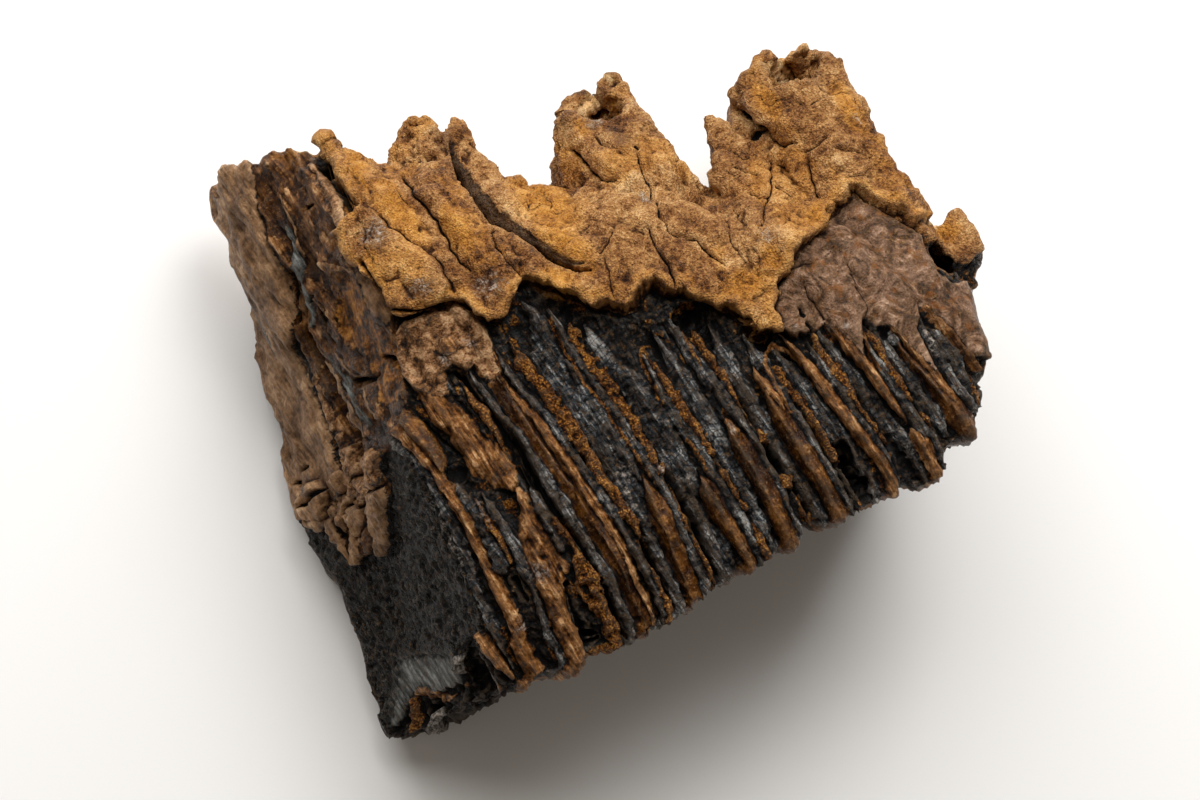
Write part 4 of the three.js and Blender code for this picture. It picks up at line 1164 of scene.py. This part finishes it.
normals = normals_of(molar)
near = averaged(points, 3)
far = averaged(near, 25)
sunk = np.sum((near - points) * normals, axis=1)
sunk_far = np.sum((far - points) * averaged(normals, 12), axis=1)
hollow = np.clip(0.5 + 1.9 * sunk + 0.5 * sunk_far, 0, 1)  # 0.5 where flat, more in hollows, less on edges
layer = molar.data.attributes.new("hollow", "FLOAT", "POINT")
layer.data.foreach_set("value", hollow.astype(np.float32))
print("hollow: mean", hollow.mean().round(3), "spread", hollow.std().round(3))

# %% Thin the faces to what the shape needs
LIMIT = 192000  # triangles
triangles = sum(len(face.vertices) - 2 for face in molar.data.polygons)
if triangles > LIMIT:
    apply(molar, "DECIMATE", ratio=LIMIT / triangles)
molar.data.shade_smooth()
print("triangles:", sum(len(face.vertices) - 2 for face in molar.data.polygons))

# %% [markdown]
# ## The finish
# Fossil teeth take their colours from the minerals they lay in: iron turns dentine orange and cement brown,
# and manganese turns enamel black. Water and sand then polish the hard enamel and leave the dentine dull.
# One material holds all of these finishes, and the shares that the carving stored say where each shows.

# %% The measures that the patterns follow
stone = bpy.data.materials.new("fossil tooth")
stone.use_nodes = True
tree = stone.node_tree
place = node(tree, "ShaderNodeTexCoord").outputs["Object"]
# The strips lean by 7.4 degrees, so fibres are drawn in a measure turned by that much.
along_strips = node(tree, "ShaderNodeMapping", Vector=place, Rotation=(0, 0, math.radians(-7.4)))
# This one is bent by up to half a millimetre, so that grains and cracks don't run straight.
bend = node(tree, "ShaderNodeTexNoise", Vector=place, Scale=1 / (2 * MM), Detail=2.0).outputs["Color"]
bent = node(tree, "ShaderNodeVectorMath", {"operation": "MULTIPLY_ADD"}, _0=bend, _1=[1.2 * MM] * 3, _2=place)
print("material:", stone.name)


# %% Helpers for patterns
def grain(size, stretch=(1, 1, 1), detail=4, rough=0.6, source=place):
    """Noise whose bumps are size mm wide, stretched by some factors along each axis."""
    scaled = node(tree, "ShaderNodeMapping", Vector=source, Scale=[1 / (size * MM * s) for s in stretch])
    return node(tree, "ShaderNodeTexNoise", Vector=scaled, Scale=1.0, Detail=detail, Roughness=rough)


def crystals(size, stretch=(1, 1, 1), feature="F1"):
    """Crystals size mm wide: the distance to each one's middle, or to its edge."""
    scaled = node(tree, "ShaderNodeMapping", Vector=bent, Scale=[1 / (size * MM * s) for s in stretch])
    return node(tree, "ShaderNodeTexVoronoi", {"feature": feature}, Vector=scaled, Scale=1.0)


def weighed(*parts):
    """The sum of some patterns, each given with its weight."""
    total = 0.0
    for weight, pattern in parts:
        total = node(tree, "ShaderNodeMath", {"operation": "MULTIPLY_ADD"}, _0=pattern, _1=weight, _2=total)
    return total


# %% Patterns, from broad to fine
# Each is given its width in mm, judged at the tooth's own scale: stains of a centimetre, patches of
# 3 to 4 mm, specks of 1 mm and enamel fibres 0.7 mm apart. The pores of dentine are finer than a tenth of a
# millimetre, so the finest grain is drawn 0.45 mm wide, as coarse as it needs to show.
broad = grain(11, detail=5)
patchy = grain(3.5, rough=0.7)
speckled = grain(1.1, rough=0.75)
fine = grain(0.45, detail=3)
fibres = grain(0.7, (1, 9, 5), source=along_strips)
swirls = node(
    tree, "ShaderNodeTexNoise", Vector=place, Scale=1 / (6 * MM), Detail=6.0, Roughness=0.62, Distortion=2.2
)
granules = node(
    tree, "ShaderNodeMapRange", Value=crystals(0.6), From_Min=0.1, From_Max=0.75, To_Min=1.0, To_Max=0.0
)
edges_of_flakes = crystals(1.8, (1.6, 0.8, 1), "DISTANCE_TO_EDGE")
splits = node(tree, "ShaderNodeMapRange", Value=edges_of_flakes, From_Max=0.07)
# Worm-like wrinkles lie where a noise crosses its middle value.
winding = grain(1.1, (1, 1.7, 1.7), detail=2, rough=0.5)
winding = node(tree, "ShaderNodeMath", {"operation": "SUBTRACT"}, _0=winding, _1=0.5)
winding = node(tree, "ShaderNodeMath", {"operation": "ABSOLUTE"}, _0=winding)
worms = node(tree, "ShaderNodeMapRange", Value=winding, From_Max=0.06, To_Min=1.0, To_Max=0.0)

# %% Mixed patterns
sandy = weighed((0.3, broad), (0.24, patchy), (0.24, speckled), (0.22, fine))
crumbly = weighed((0.12, granules), (0.26, patchy), (0.36, speckled), (0.26, fine))
grainy = weighed((0.35, fibres), (0.25, speckled), (0.4, patchy))
silky = weighed((0.3, broad), (0.3, patchy), (0.2, speckled), (0.2, fibres))
flaky = weighed((0.06, splits), (0.34, fibres), (0.22, speckled), (0.14, patchy), (0.24, broad))
clotted = weighed((0.04, splits), (0.36, speckled), (0.6, patchy))
flowing = weighed((0.6, swirls), (0.2, speckled), (0.2, fine))
print("patterns made with", len(tree.nodes), "nodes")

# %% The finishes, in the order in which they are laid over bare black enamel
# Polished enamel and cement shine, with a roughness of about 0.3. Dentine and the cap are porous and dull.
FINISH = {
    # the pattern and tones of its colour, its roughness, and the pattern and depth in mm of its relief
    "bare": (flaky, ((0.45, "#030303"), (0.53, "#131415"), (0.59, "#2e3031"), (0.66, "#7d7c79")),
             0.3, flaky, 2.6),
    "enamel": (flaky, ((0.43, "#040404"), (0.5, "#16181a"), (0.555, "#3c4043"), (0.62, "#b0b0ac")),
               0.28, flaky, 2.8),
    "dentine": (crumbly, ((0.4, "#120601"), (0.47, "#552c07"), (0.53, "#965c1c"), (0.6, "#dfa350")),
                0.5, crumbly, 3.6),
    "dark": (silky, ((0.4, "#060201"), (0.47, "#2a1303"), (0.53, "#502d09"), (0.61, "#875621")),
             0.26, silky, 1.6),
    "tan": (grainy, ((0.4, "#160903"), (0.47, "#4f2c0d"), (0.53, "#885728"), (0.61, "#dcae7c")),
            0.3, grainy, 2.6),
    "amber": (clotted, ((0.42, "#170a01"), (0.48, "#4b2903"), (0.53, "#7c4708"), (0.61, "#b87c30")),
              0.3, clotted, 1.6),
    "crust": (clotted, ((0.42, "#1c0e05"), (0.48, "#623f21"), (0.53, "#936843"), (0.61, "#cca47a")),
              0.34, clotted, 2.2),
    "smooth": (flowing, ((0.38, "#1c0f07"), (0.46, "#4c3522"), (0.54, "#7b5c46"), (0.64, "#b8987e")),
               0.32, flowing, 1.2),
    "weathered": (silky, ((0.38, "#28160a"), (0.46, "#684a2f"), (0.53, "#9b7653"), (0.61, "#d6b18a")),
                  0.35, silky, 2.0),
    "charcoal": (worms, ((0.3, "#030302"), (0.7, "#252624"), (0.98, "#757671")), 0.45, worms, 1.8),
    # Grey slate, also used for the painted grey-blue sheen on ridges of the left end.
    "slate_and_sheen": (fibres, ((0.38, "#383a37"), (0.5, "#5f615e"), (0.62, "#929490")), 0.42, fibres, 0.4),
    "cap": (sandy, ((0.39, "#28140a"), (0.455, "#744722"), (0.52, "#b07d48"), (0.6, "#e6bb82")),
            0.55, crumbly, 3.0),
    "gold": (sandy, ((0.39, "#68390c"), (0.46, "#a3681e"), (0.53, "#c0832e"), (0.62, "#dfa653")),
             0.5, crumbly, 2.0),
    "cream": (sandy, ((0.4, "#a2743e"), (0.5, "#cfa26a"), (0.6, "#efcfa0")), 0.6, crumbly, 1.2),
    # Light mineral, and painted glints.
    "pale_and_glint": (speckled, ((0.4, "#2d2a26"), (0.5, "#6b6660"), (0.6, "#c0b6ac")), 0.3, speckled, 1.2),
    "stain_and_shade": (sandy, ((0.4, "#170b04"), (0.5, "#3f2815"), (0.6, "#6e4f31")), 0.4, crumbly, 2.0),
    # Near black, for dirt and for painted shade in grooves, cracks, pits and under the cap's edge.
    "dirt_and_shade": (fine, ((0.35, "#020101"), (0.7, "#120904")), 0.5, fine, 0.6),
}
# How gently a finish fades out at its edge, from 0 for a cut edge to 1. The others are crisp.
SOFTNESS = {"stain_and_shade": 0.9, "gold": 0.9, "cream": 0.5, "pale_and_glint": 0.5, "slate_and_sheen": 0.8}
CRISP = 0.2
RUST = "#7a481a"  # spots in the smooth cement
print(len(FINISH), "finishes")

# %% Lay the finishes over each other
# The edge of each is frayed by specks, and its colour, gloss and relief all follow the same cover.
rust = node(tree, "ShaderNodeMapRange", Value=patchy, From_Min=0.55, From_Max=0.64, To_Max=0.7)
jitter = node(tree, "ShaderNodeMath", {"operation": "MULTIPLY_ADD"}, _0=speckled, _1=1.6, _2=-0.8)
for name, (drawn, tones, rough, pattern, depth) in FINISH.items():
    paint = node(tree, "ShaderNodeValToRGB", Fac=drawn)
    stops = paint.color_ramp.elements
    while len(stops) < len(tones):
        stops.new(0.5)
    for stop, (position, code) in zip(stops, tones):
        stop.position = position
        stop.color = srgb(code)
    if name == "smooth":
        rusty = node(tree, "ShaderNodeMix", {"data_type": "RGBA"}, _0=rust, _6=paint, _7=srgb(RUST))
        paint = rusty.outputs[2]
    raised = node(tree, "ShaderNodeMath", {"operation": "MULTIPLY"}, _0=pattern, _1=depth)
    if name == "bare":
        colour, gloss, relief = paint, rough, raised
        continue
    shown = node(tree, "ShaderNodeAttribute", {"attribute_name": name}).outputs["Fac"]
    frayed = node(tree, "ShaderNodeMath", {"operation": "ADD"}, _0=shown, _1=jitter)
    fade = SOFTNESS.get(name, CRISP) / 2
    cover = node(tree, "ShaderNodeMapRange", Value=frayed, From_Min=0.5 - fade, From_Max=0.5 + fade)
    colour = node(tree, "ShaderNodeMix", {"data_type": "RGBA"}, _0=cover, _6=colour, _7=paint).outputs[2]
    gloss = node(tree, "ShaderNodeMix", _0=cover, _2=gloss, _3=rough)
    relief = node(tree, "ShaderNodeMix", _0=cover, _2=relief, _3=raised)
print("laid", len(FINISH) - 1, "finishes over bare enamel")

# %% Paint shade and some dirt into the hollows, and a highlight on the worn edges
depth_of_hollow = node(tree, "ShaderNodeAttribute", {"attribute_name": "hollow"}).outputs["Fac"]
shade_with_grime = node(tree, "ShaderNodeMapRange", Value=depth_of_hollow, From_Min=0.54, From_Max=0.95, To_Max=0.97)
wear_and_highlight = node(tree, "ShaderNodeMapRange", Value=depth_of_hollow, From_Min=0.42, From_Max=0.05, To_Max=0.34)
# The hollows are darkened as painted shade with some dirt, and the edges lightened as a painted highlight.
for cover, how, code in ((shade_with_grime, "MULTIPLY", "#523a29"), (wear_and_highlight, "SCREEN", "#6a5844")):
    settings = {"data_type": "RGBA", "blend_type": how}
    colour = node(tree, "ShaderNodeMix", settings, _0=cover, _6=colour, _7=srgb(code)).outputs[2]
gloss = node(tree, "ShaderNodeMix", _0=shade_with_grime, _2=gloss, _3=0.7)
bump = node(tree, "ShaderNodeBump", Height=relief, Strength=1.0, Distance=1.0 * MM)
shader = tree.nodes["Principled BSDF"]
tree.links.new(colour, shader.inputs["Base Color"])
tree.links.new(gloss.outputs[0], shader.inputs["Roughness"])
tree.links.new(bump.outputs["Normal"], shader.inputs["Normal"])
shader.inputs["Specular IOR Level"].default_value = 0.15
# Each cutter left an empty material slot on the tooth, so the slots are cleared first.
molar.data.materials.clear()
molar.data.materials.append(stone)
print("material of", len(tree.nodes), "nodes")

# %% Hand over
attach(molar, "root")
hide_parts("molar")
